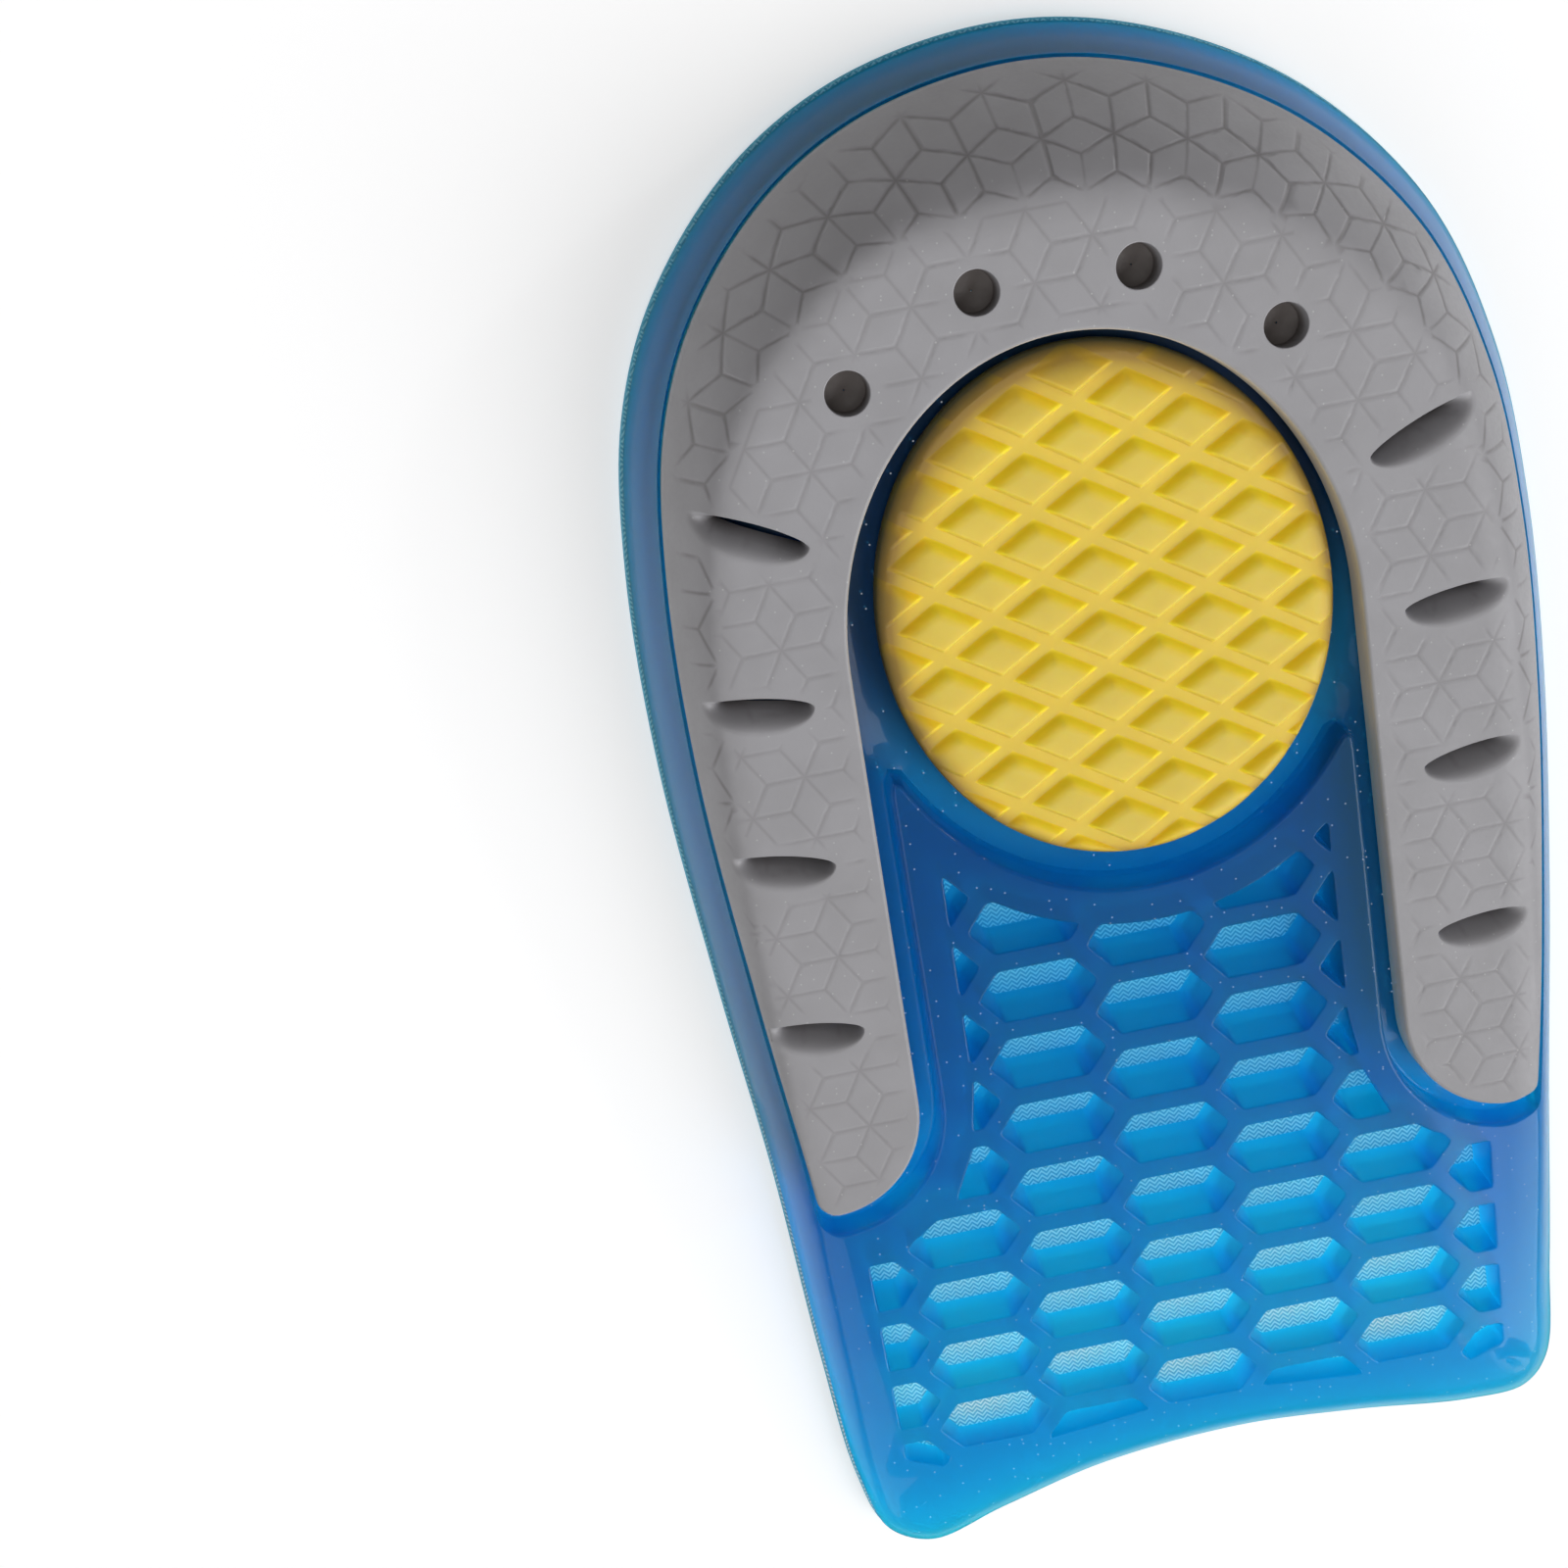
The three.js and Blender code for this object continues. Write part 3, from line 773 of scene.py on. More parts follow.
def gel_shade(place):
    """Painted shade on the gel, 0 to 1: it grows with the thickness towards the heel, but not on the thin
    flange. In the moat it grows faster, as little light comes down between the pad and the horseshoe."""
    x, y = place[:, :2].T
    inset = nearest_on(RIM_LINE, place[:, :2])[0]
    heel_shade = THICK_SHADE * smoothstep(y, *THICK_Y) * smoothstep(inset, *THICK_INSET)
    moat = MOAT_SHADE * smoothstep(y - MOAT_LEAN * x, *MOAT_Y)
    sunk = odd_inside([SUNK], place[:, :2]) & (inset > MOAT_INSET)
    return np.where(sunk, np.maximum(heel_shade, moat), heel_shade)


gel = make_piece("gel_casting", GEL_PATCHES)
mark_points(gel, "shade", gel_shade)
gel.data.set_sharp_from_angle(angle=SHARP_ANGLE)
GEL_TOP_LINES = [RIM_LINE + RIM_INWARD * GEL_RIM_INSET, SUNK]
GEL_TOP_LINES += [widened(line, POCKET_LIP) for line in POCKETS]
true_normals(gel, GEL_TOP_LINES, envelope)
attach(gel, "root")
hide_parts("gel_body")

# %% [markdown]
# ## The horseshoe
#
# The grey support carries a net of fine grooves that look like stacked cubes: every tile is a rhombus, and
# six tiles meet in a star. On the flat the stars stand in columns, on the wall they run round the heel in
# rows. A bump map could fake the grooves, but they catch the light at a flat angle, so they are cut into
# the mesh: the groove lines and the tile outlines go into the filling as edges.

# %% Horseshoe outlines
HORSESHOE_INSET = 2.75
HORSESHOE_DROP = 2.4
HORSESHOE_WALL = 2.0
HORSESHOE_LOWEST = 4.0
HORSESHOE_LIP = 0.25
HORSESHOE_SPACING = 0.5
HORSESHOE_SOFTEN = 0.4
HOLE_RADIUS = 1.45
# Columns: radius, share of the depth.
HOLE_TAPER = ((1.43, 0.5), (1.38, 0.9), (1.1, 0.97), (0.06, 1.0))
HOLE_LIP = 0.08
HOLE_STEPS = 48
HOLES = np.array([(-14.4, 34.0), (-5.4, 39.0), (4.9, 39.1), (13.8, 34.0)])
SLOT_HEEL_SIDE = 0.7
SLOT_FRONT_SIDE = 2.0
SLOT_FRONT_BELOW = 0.0
SLOT_INNER_END = 0.06
SLOT_FADE = 0.32
SLOT_CURVE = 2.2
SLOT_STEPS = 56
# Columns: x of the inner end, y, length, tilt in degrees.
SLOTS = ((18.4, 24.4, 8.2, 24.0), (19.9, 13.7, 7.6, 8.0), (20.4, 2.2, 7.2, 10.0), (20.5, -10.5, 6.8, 7.0))
SLOT_SLIDES = (0.0, 0.1, 0.2, 0.35, 0.5, 0.65, 0.8, 0.9, 1.0)


def horseshoe_base(xy):
    """Height of the horseshoe's lower face: the outer surface moved in and down, but never below its foot."""
    return np.maximum(envelope(xy, HORSESHOE_WALL, HORSESHOE_DROP), HORSESHOE_LOWEST)


def hole_rings(middle):
    """Rings of a round hole: a small lip, then circles that get narrower on the way down and close it."""
    turn = np.arange(HOLE_STEPS) * 2 * np.pi / HOLE_STEPS
    circle = np.column_stack([np.cos(turn), np.sin(turn)])
    place = slanted(np.array([middle]) + (AXIS_X, 0))
    rings = []
    for t in LIP_TURNS[::2]:
        ring = place + circle * (HOLE_RADIUS + HOLE_LIP * (1 - np.sin(t)))
        rings.append(lifted(ring, envelope(ring) - HOLE_LIP * (1 - np.cos(t))))
    for radius, share in HOLE_TAPER:
        ring = place + circle * radius
        rings.append(lifted(ring, rings[2][:, 2] * (1 - share) + horseshoe_base(ring) * share))
    return rings


def slot_rings(side, inner_x, y, length, tilt):
    """A leaf-shaped slot: its heel side goes straight down, its front side is a ramp that starts gently, and
    the lower a ring lies, the further it draws back from the outer end."""
    turn = np.arange(SLOT_STEPS) * 2 * np.pi / SLOT_STEPS
    lean = np.radians(tilt)
    rings = []
    for slide in SLOT_SLIDES:
        front = SLOT_FRONT_SIDE + (SLOT_FRONT_BELOW - SLOT_FRONT_SIDE) * slide
        along = length * (SLOT_INNER_END * slide + (0.5 + 0.5 * np.cos(turn)) * (1 - SLOT_FADE * slide))
        across = np.where(np.sin(turn) > 0, SLOT_HEEL_SIDE, front) * np.sin(turn)
        x = inner_x + along * np.cos(lean) - across * np.sin(lean)
        ring = slanted(np.column_stack([AXIS_X + side * x, y + along * np.sin(lean) + across * np.cos(lean)]))
        top = envelope(ring)
        rings.append(lifted(ring, top + (horseshoe_base(ring) - top) * slide ** SLOT_CURVE))
    return rings


HORSESHOE = closed_line(
    np.vstack([u_line(0), rim_arc(HORSESHOE_INSET, LEG_RADIUS[1])]), HORSESHOE_SPACING, HORSESHOE_SOFTEN)
print("horseshoe edge points:", len(HORSESHOE), " holes:", len(HOLES), " slots:", 2 * len(SLOTS))

# %% [markdown]
# The groove net is worked out on a plane of its own, where stars stand one apart in rows of equilateral
# triangles. Two functions carry it to the part, one to the flat and one to the wall, and two carry points of
# the part back, to ask how far the nearest groove is.

# %% Groove net
FLAT_STAR_PITCH = 4.55
FLAT_STAR_PLACE = (-22.22, 18.91)
WALL_STAR_PITCH = 4.95
WALL_STAR_START = 0.2
WALL_ROW_PLACE = 3.5
WALL_ROW_STEP = 3.4
WALL_MIDDLE = 0.55
ROW_HEIGHT = np.sqrt(3) / 2


def rim_run():
    """Length along the middle of the wall, from the back of the heel, positive towards the left leg."""
    line = RIM_LINE + RIM_INWARD * (WALL_MIDDLE * SHOULDER)[:, None]
    return np.concatenate([[0], np.cumsum(np.hypot(*(np.roll(line, -1, axis=0) - line).T))])


RIM_RUN = rim_run()


def flat_net(xy):
    """Plan to the flat net's own plane: stars are one apart, and a star lies at the origin."""
    away = xy / (1, np.cos(WEDGE)) - FLAT_STAR_PLACE
    return np.column_stack([away[:, 1], -away[:, 0]]) / FLAT_STAR_PITCH


def flat_plan(net):
    """The flat net's plane to the plan: a quarter turn, a scale and a shift."""
    away = np.column_stack([-net[:, 1], net[:, 0]]) * FLAT_STAR_PITCH
    return (away + FLAT_STAR_PLACE) * (1, np.cos(WEDGE))


def wall_net(xy):
    """Plan to the wall net's own plane: along the wall, and out from the shoulder."""
    distance, place = nearest_on(RIM_LINE, xy)
    run = np.interp(place, np.arange(len(RIM_RUN)), RIM_RUN)
    run = np.where(run > RIM_RUN[-1] / 2, run - RIM_RUN[-1], run)
    out = at_place(SHOULDER, place) - distance
    return np.column_stack([
        (run - WALL_STAR_START) / WALL_STAR_PITCH,
        (out - WALL_ROW_PLACE) / WALL_ROW_STEP * ROW_HEIGHT,
    ])


def wall_plan(net):
    """The wall net's plane to the plan: so far along the wall, and so far out from the shoulder."""
    run = (net[:, 0] * WALL_STAR_PITCH + WALL_STAR_START) % RIM_RUN[-1]
    out = net[:, 1] / ROW_HEIGHT * WALL_ROW_STEP + WALL_ROW_PLACE
    place = np.interp(run, RIM_RUN, np.arange(len(RIM_RUN)))
    line = at_place(RIM_LINE, place)
    inward = at_place(RIM_INWARD, place)
    return line + inward * (at_place(SHOULDER, place) - out)[:, None]


def net_distance(net):
    """Distance to the nearest groove, with stars one apart. Grooves leave each star in six directions, so
    it is the distance from the star times the sine of the angle to the nearest of them."""
    row = net[:, 1] / ROW_HEIGHT
    column = net[:, 0] - row / 2
    best = np.full(len(net), np.inf)
    angle = np.zeros(len(net))
    for i in (0, 1):
        for j in (0, 1):
            c = np.floor(column) + i
            r = np.floor(row) + j
            away = net - np.column_stack([c + r / 2, r * ROW_HEIGHT])
            far = np.hypot(*away.T)
            closer = far < best
            best[closer] = far[closer]
            angle[closer] = np.arctan2(away[closer, 1], away[closer, 0])
    return best * np.abs(np.sin(angle % (np.pi / 3) - np.pi / 6))


print(f"wall net: {RIM_RUN[-1] / WALL_STAR_PITCH:.1f} stars round the rim")

# %% [markdown]
# The filling needs the net as edges: the bottom line of every groove, and the outlines of the tiles beside
# it, where the groove's sides end. Bits that would come too close to an edge, a hole or a slot are left out,
# as the grooves of the moulded part also stop there.

# %% Groove lines
GROOVE_FADE = (0.5, 1.3)
ROOM_REACH = GROOVE_FADE[1] + 1
NET_BITS = 4
NET_ROOM = 0.25


def net_segments(columns, rows, insets):
    """Groove lines from each star to its six neighbouring corners, and the outlines of the tiles, drawn
    smaller by each of the insets."""
    c, r = (part.ravel() for part in np.meshgrid(np.arange(*columns), np.arange(*rows)))
    stars = np.column_stack([c + r / 2, r * ROW_HEIGHT])
    segments = []
    for k in range(6):
        turn = np.pi / 6 + k * np.pi / 3
        corner = stars + np.array([np.cos(turn), np.sin(turn)]) / np.sqrt(3)
        segments.append(np.stack([stars, corner], axis=1))
    for k in range(3):
        along = np.array([np.cos(k * np.pi / 3), np.sin(k * np.pi / 3)])
        across = np.array([-along[1], along[0]]) / np.sqrt(3)
        for inset in insets:
            tile = np.array([-along, across, along, -across]) / 2 * (1 - 4 * inset)
            corners = (stars + along / 2)[:, None, :] + tile[None]
            segments += [np.stack([corners[:, i], corners[:, (i + 1) % 4]], axis=1) for i in range(4)]
    return np.vstack(segments)


def past_shoulder(xy):
    """How far a point lies out on the wall, from the line where the wall starts."""
    distance, place = nearest_on(RIM_LINE, xy)
    return at_place(SHOULDER, place) - distance


def room_to(loops, xy):
    """Distance from each point to the nearest of several closed lines, or no limit where all are far away."""
    room = np.full(len(xy), np.inf)
    for loop in loops:
        near = np.all((xy > loop.min(axis=0) - ROOM_REACH) & (xy < loop.max(axis=0) + ROOM_REACH), axis=1)
        if near.any():
            room[near] = np.minimum(room[near], nearest_on(loop, xy[near])[0])
    return room


def plan_segments(segments, to_plan, wanted, loops):
    """Net segments on the plan, cut into short bits. The bits are kept that are wanted and lie in the
    horseshoe with some room to its edges."""
    shares = np.linspace(0, 1, NET_BITS + 1)[None, :, None]
    points = segments[:, :1] * (1 - shares) + segments[:, 1:] * shares
    plan = to_plan(points.reshape(-1, 2))
    good = odd_inside(loops, plan) & wanted(plan)
    good[good] = room_to(loops, plan[good]) > NET_ROOM
    plan = np.round(plan, 4).reshape(-1, NET_BITS + 1, 2)
    good = good.reshape(-1, NET_BITS + 1)
    bits = np.stack([plan[:, :-1], plan[:, 1:]], axis=2)[good[:, :-1] & good[:, 1:]]
    ends = np.sort(bits.view([("x", float), ("y", float)]), axis=1)
    return np.unique(ends.view(float).reshape(-1, 4), axis=0).reshape(-1, 2, 2)


print("groove lines of one star:", len(net_segments((0, 1), (0, 1), ())))

# %% [markdown]
# The horseshoe's upper face is the outer surface with the grooves cut in. Grooves are deeper on the wall than
# on the flat, and their relief fades near the shoulder, while their painted shade goes on: two nets meet
# there, and cut deep they would leave teeth.

# %% Horseshoe surfaces
GROOVE_HALF_WIDTH = 0.19
TILE_INSETS = np.array([0.19, 0.31])
GROOVE_DEPTH = 0.1
FLAT_GROOVE_SHARE = 0.42
RELIEF_FADE = (0.3, 2.0)
COLOUR_FADE = (0.05, 0.5)
# Columns: first and last column, first and last row.
FLAT_NET = ((-20, 20), (-20, 20))
WALL_NET = ((-30, 30), (-2, 4))
SHOULDER_ROOM = 0.1
SUPPORT_STRETCH = (-28, 56)
# Columns: step of the grid, room to the lines.
SUPPORT_TOP_GRID = (0.9, 0.3)
SUPPORT_BASE_GRID = (1.3, 0.5)


def groove_depth(xy, loops, fade=RELIEF_FADE):
    """0 on the tiles and a V in the grooves, fading out near the edges, holes and slots, and near the line
    where the wall starts."""
    flat = net_distance(flat_net(xy)) * FLAT_STAR_PITCH
    wall = net_distance(wall_net(xy)) * WALL_STAR_PITCH
    out = past_shoulder(xy)
    distance = np.where(out > 0, wall, flat)
    depth = np.clip(1 - distance / GROOVE_HALF_WIDTH, 0, 1) * np.where(out > 0, 1, FLAT_GROOVE_SHARE)
    return depth * smoothstep(room_to(loops, xy), *GROOVE_FADE) * smoothstep(np.abs(out), *fade)


def edge_rings(line, lip, base):
    """Rings over the outer edge of a piece: a round lip of the given radius and a wall down to its base."""
    rings = []
    for t in LIP_TURNS:
        ring = widened(line, -lip * (1 - np.sin(t)))
        rings.append(lifted(ring, envelope(ring) - lip * (1 - np.cos(t))))
    rings.append(lifted(line, base(line)))
    return rings


OPENINGS = [hole_rings(middle) for middle in HOLES]
OPENINGS += [slot_rings(side, *slot) for side in (-1, 1) for slot in SLOTS]
SUPPORT_EDGE = edge_rings(HORSESHOE, HORSESHOE_LIP, horseshoe_base)
SUPPORT_TOP_LINES = [rings[0][:, :2] for rings in [SUPPORT_EDGE] + OPENINGS]


def horseshoe_top(xy):
    """Height of the upper face: the outer surface with the grooves cut in."""
    return envelope(xy) - GROOVE_DEPTH * groove_depth(xy, SUPPORT_TOP_LINES)


def horseshoe_patches():
    """Bands over the edge and down the openings, and the fillings of the upper and the lower face."""
    patches = [band(rings) for rings in [SUPPORT_EDGE] + OPENINGS]
    upper = SUPPORT_TOP_LINES
    flat = plan_segments(net_segments(*FLAT_NET, TILE_INSETS / FLAT_STAR_PITCH), flat_plan,
                         lambda xy: past_shoulder(xy) < -SHOULDER_ROOM, upper)
    wall = plan_segments(net_segments(*WALL_NET, TILE_INSETS / WALL_STAR_PITCH), wall_plan,
                         lambda xy: past_shoulder(xy) > SHOULDER_ROOM, upper)
    grid = plan_grid(upper, ACROSS, SUPPORT_STRETCH, *SUPPORT_TOP_GRID)
    xy, faces = fill_plan(upper, grid, np.vstack([flat, wall]))
    patches.append((lifted(xy, horseshoe_top(xy)), faces))
    lower = [rings[-1][:, :2] for rings in [SUPPORT_EDGE] + OPENINGS]
    xy, faces = fill_plan(lower, plan_grid(lower, ACROSS, SUPPORT_STRETCH, *SUPPORT_BASE_GRID))
    patches.append((lifted(xy, horseshoe_base(xy)), faces))
    return patches


HORSESHOE_PATCHES = horseshoe_patches()
print("horseshoe patches:", len(HORSESHOE_PATCHES))

# %% [markdown]
# Three numbers go with every point for the colour: the grooves and the depth in a hole or slot, which carry
# painted shade, and the inner edge, where the warm light that the pad throws back is painted.

# %% Horseshoe piece
EDGE_BAND = 0.4
EDGE_FALL = (0.02, 0.25)
OUTER_EDGE_INSET = HORSESHOE_INSET + 1
SLOT_DIMNESS = 0.5


def opening_depth(place):
    """How far a point lies down in a hole, as a share of the thickness, and half of that in an open slot."""
    depth = np.clip((envelope(place[:, :2]) - place[:, 2]) / HORSESHOE_DROP, 0, 1)
    away = place[:, None, :2] - slanted(HOLES + (AXIS_X, 0))[None]
    hole = np.linalg.norm(away, axis=2).min(axis=1) < HOLE_RADIUS + EDGE_BAND
    inside = nearest_on(HORSESHOE, place[:, :2])[0] > EDGE_BAND
    return np.where(inside, depth * np.where(hole, 1.0, SLOT_DIMNESS), 0)


def inner_edge(place):
    """1 on the inner edge, which faces the pad, and 0 on the tiles and on the outer edge."""
    fall = smoothstep(envelope(place[:, :2]) - place[:, 2], *EDGE_FALL)
    near = nearest_on(HORSESHOE, place[:, :2])[0] < EDGE_BAND
    inner = nearest_on(RIM_LINE, place[:, :2])[0] > OUTER_EDGE_INSET
    return np.where(near & inner, fall, 0)


horseshoe = make_piece("horseshoe", HORSESHOE_PATCHES)
# The groove number sets the painted shade in the grooves.
mark_points(horseshoe, "groove", lambda p: groove_depth(p[:, :2], SUPPORT_TOP_LINES, COLOUR_FADE))
# The depth number sets the painted shade down the holes and slots.
mark_points(horseshoe, "deep", opening_depth)
# The edge number sets the painted warm reflection of the pad on the inner edge.
mark_points(horseshoe, "edge", inner_edge)
horseshoe.data.set_sharp_from_angle(angle=SHARP_ANGLE)
true_normals(horseshoe, SUPPORT_TOP_LINES, horseshoe_top)
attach(horseshoe, "root")
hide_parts("support_horseshoe")

# %% [markdown]
# ## The heel pad
#
# The yellow pad is a soft oval cushion with two families of straight grooves that leave raised diamonds.
# Every diamond has a wide round wall towards the heel and a steep one towards the front. The pattern could
# be a bump map, but its walls are what gives the pad its look, so the grooves are worked out as depths.

# %% Pad grooves
DIAMOND_HALF = (3.6, 2.25)
DIAMOND_Y = 24.25
PAD_GROOVE_DEPTH = 0.6
PAD_GROOVE_HALF = 0.4
PAD_FOOT = 0.06
PAD_WALL_HEEL = 1.1
PAD_WALL_FRONT = 0.3
PAD_WALL_CURVE = 2.4
PAD_SHADED_WALL_RISE = (0.1, 0.75)


def pad_families():
    """For each family of grooves: a direction, a unit normal and the distance between two grooves."""
    families = []
    for lean in (-1, 1):
        along = np.array([DIAMOND_HALF[0], lean * DIAMOND_HALF[1] - HEEL_SLANT * DIAMOND_HALF[0]])
        along = along / np.hypot(*along)
        normal = np.array([-along[1], along[0]])
        families.append((along, normal, 2 * DIAMOND_HALF[1] * normal[1]))
    return families


PAD_GROOVE_START = np.array([AXIS_X, DIAMOND_Y - DIAMOND_HALF[1]])


def pad_grooves(xy):
    """Three numbers for each point: its depth in a groove, 1 at the bottom and 0 on a diamond; 1 on the flat
    bottom alone; and how low it lies on a wall that faces the heel. A wall's fall is (1 - t)^c, with t the
    share of its width from the foot, and the walls that face the heel are the wide ones. Where two walls
    meet, what is left above them is multiplied, which rounds the corner."""
    above = np.ones(len(xy))
    bottom = np.zeros(len(xy))
    amber = np.zeros(len(xy))
    for _, normal, pitch in pad_families():
        place = (xy - PAD_GROOVE_START) @ normal / pitch
        off = (place - np.round(place)) * pitch
        width = np.where(off < 0, PAD_WALL_HEEL, PAD_WALL_FRONT)
        up = np.clip((np.abs(off) - PAD_GROOVE_HALF) / width, 0, 1)
        above = above * (1 - (1 - up) ** PAD_WALL_CURVE)
        bottom = np.maximum(bottom, np.clip((PAD_GROOVE_HALF - np.abs(off)) / PAD_FOOT, 0, 1))
        # The third number is the mask for painted shade on the walls that face the heel.
        amber = np.maximum(amber, np.where(off < 0, smoothstep(1 - up, *PAD_SHADED_WALL_RISE), 0))
    return 1 - above, bottom, amber * (1 - bottom)


print("groove spacing:", ", ".join(f"{pitch:.2f} mm" for _, _, pitch in pad_families()))

# %% [markdown]
# The pad's edge is rounded far more than anything else, and most of all towards the heel, where the grooves
# run out in it. Its upper face is the underside's plane, sunk a little, less this edge and the grooves.

# %% Pad heights
PAD_RIM_STEPS = 240
PAD_SUNK = (0.45, 0.95)
# Columns: width, drop.
PAD_ROUND_FRONT = (0.9, 0.6)
PAD_ROUND_HEEL = (4.6, 1.5)
PAD_ROUND_TURN = np.radians(115)
PAD_MIDDLE = (2, 9)
PAD_RIM = pad_oval(0, PAD_RIM_STEPS)


def pad_edge(xy):
    """How far the round edge has fallen: a quarter ellipse that is wide towards the heel and narrow towards
    the front."""
    away = xy - PAD_CENTRE
    heelward = 0.5 + 0.5 * np.cos(np.arctan2(away[:, 1], away[:, 0]) - PAD_ROUND_TURN)
    heelward = heelward * smoothstep(np.hypot(*away.T), *PAD_MIDDLE)
    width, drop = (f + (h - f) * heelward for f, h in zip(PAD_ROUND_FRONT, PAD_ROUND_HEEL))
    way = np.clip(1 - nearest_on(PAD_RIM, xy)[0] / width, 0, 1)
    return drop * (1 - np.sqrt(1 - way ** 2))


def pad_top(xy):
    """Top of the pad: the plane, sunk a little more at the heel, with its round edge. The grooves go down to
    one level, so they run out where the edge falls below it."""
    edge = pad_edge(xy)
    groove = np.maximum(PAD_GROOVE_DEPTH - edge, 0) * pad_grooves(xy)[0]
    share = ((xy[:, 1] - PAD_CENTRE[1]) / PAD_HALF[1] + 1) / 2
    sunk = PAD_SUNK[0] + (PAD_SUNK[1] - PAD_SUNK[0]) * share
    return underside(xy[:, 1]) - sunk - edge - groove


print(f"pad top: {pad_top(np.array([PAD_CENTRE]))[0]:.2f} mm high in the middle")

# %% [markdown]
# In the filling, every groove is drawn as lines along it, closest on the walls, and the round edge as rings.
# The triangulation cuts them where they cross, and the piece is closed below by a plain foot.

# %% Pad piece
PAD_BOTTOM = 2.9
PAD_FOOT_ROUND = 0.15
PAD_EDGE_STEPS = (0.04, 0.15, 0.35, 0.65, 1.0, 1.5, 2.1, 2.8, 3.6)
GROOVE_ROWS = range(-8, 9)
GROOVE_REACH = 60
PAD_ACROSS = (-18, 18)
PAD_STRETCH = (-2, 38)
# Columns: step of the grid, room to the lines.
PAD_GRID = (2.0, 1.0)
PAD_JOIN = 0.01


def outline_of(faces):
    """Corners along the open edge of a patch, in order: the edges that only one face runs along."""
    edges = {(int(f[i]), int(f[(i + 1) % len(f)])) for f in faces for i in range(len(f))}
    follow = {a: b for a, b in edges if (b, a) not in edges}
    order = [next(iter(follow))]
    while follow[order[-1]] != order[0]:
        order.append(follow[order[-1]])
    return np.array(order)


# Distances of the lines from the middle of their groove: the wall towards the heel, the foot, the steep wall.
PAD_EDGES = np.concatenate([
    -PAD_GROOVE_HALF - PAD_WALL_HEEL * np.array([1.0, 0.68, 0.45, 0.27, 0.12, 0.0]),
    [PAD_FOOT - PAD_GROOVE_HALF, PAD_GROOVE_HALF - PAD_FOOT],
    PAD_GROOVE_HALF + PAD_WALL_FRONT * np.array([0.0, 0.25, 0.55, 1.0]),
])


def pad_patches():
    """The filled top, a band down from its edge and the flat foot."""
    segments = []
    for along, normal, pitch in pad_families():
        for row in GROOVE_ROWS:
            for off in PAD_EDGES:
                middle = PAD_GROOVE_START + normal * (row * pitch + off)
                segments.append((middle - along * GROOVE_REACH, middle + along * GROOVE_REACH))
    for inset in PAD_EDGE_STEPS:
        ring = widened(PAD_RIM, -inset)
        segments += list(zip(ring, np.roll(ring, -1, axis=0)))
    xy, faces = fill_plan([PAD_RIM], (), np.array(segments))
    top = lifted(xy, pad_top(xy))
    edge = top[outline_of(faces)]
    foot = widened(edge[:, :2], -PAD_FOOT_ROUND)
    rings = [edge, lifted(edge[:, :2], underside(edge[:, 1]) - PAD_BOTTOM + PAD_FOOT_ROUND)]
    rings.append(lifted(foot, underside(foot[:, 1]) - PAD_BOTTOM))
    xy, under = fill_plan([foot], plan_grid([foot], PAD_ACROSS, PAD_STRETCH, *PAD_GRID))
    return [(top, faces), band(rings), (lifted(xy, underside(xy[:, 1]) - PAD_BOTTOM), under)]


pad = make_piece("heel_cushion", pad_patches(), join=PAD_JOIN)
pad.data.set_sharp_from_angle(angle=SHARP_ANGLE)
true_normals(pad, [PAD_RIM], pad_top)
# The edge's fall also sets the painted shade that darkens the round edge to brown.
mark_points(pad, "edge", lambda p: pad_edge(p[:, :2]) / PAD_ROUND_HEEL[1])
mark_points(pad, "groove", lambda p: pad_grooves(p[:, :2])[1])
# Painted shade: the amber number tints the walls that face the heel.
mark_points(pad, "amber", lambda p: pad_grooves(p[:, :2])[2])
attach(pad, "root")
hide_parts("heel_pad")

# %% [markdown]
# ## The cloth
#
# The foot side is covered with a thin velour. Its pile points down here, and its woven back shows through
# the gel in the pockets. It could hang in a cloth simulation, but the real one is glued flat to the gel. So
# it is one closed sheet: a net of spokes and rings gives both faces, and rings round the edge join them.

# %% Cloth
CLOTH_RING_SHARES = np.concatenate([np.linspace(0.0, 0.72, 25), np.linspace(0.735, 0.97, 22), [0.985, 0.996]])
# Columns: inset from the rim, height.
CLOTH_EDGE = ((0.12, 0.03), (0.0, 0.3), (0.0, 0.7), (0.12, 0.97))


def cloth_patches():
    """Both faces on a net of rings, which are the rim drawn towards the origin by a share, with a round edge
    between them and a fan of triangles in the middle."""
    shares = CLOTH_RING_SHARES[1:, None, None]
    rings = RIM_LINE[None] * shares
    plan = rings.reshape(-1, 2)
    count = len(RIM_LINE)
    low = foot_height(plan)
    edge = [lifted(RIM_LINE + RIM_INWARD * inset, height) for inset, height in CLOTH_EDGE]
    below = list(lifted(plan, low).reshape(-1, count, 3))
    above = list(lifted(plan, low + CLOTH_THICKNESS).reshape(-1, count, 3))
    patches = [(*band(below + edge), 0), (*band([edge[-1]] + above[::-1]), 1)]
    index = np.arange(count)
    for ring, lift, slot in ((below[0], 0.0, 0), (above[0], CLOTH_THICKNESS, 1)):
        middle = np.array([[0.0, 0.0, float(foot_height(np.zeros((1, 2)))[0]) + lift]])
        fan = np.column_stack([index, np.roll(index, -1), np.full(count, count)])
        patches.append((np.vstack([ring, middle]), fan, slot))
    return patches


cloth = make_piece("cloth", cloth_patches())
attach(cloth, "root")
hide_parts("cover_cloth")

# %% [markdown]
# ## Finishes
#
# Each material is a small net of nodes. Helpers add a node with its values and a colour ramp from a table,
# which keeps the nets short enough to read. A Mix node for colours has its factor in input 0, its two colours
# in 6 and 7, and its result in output 2.

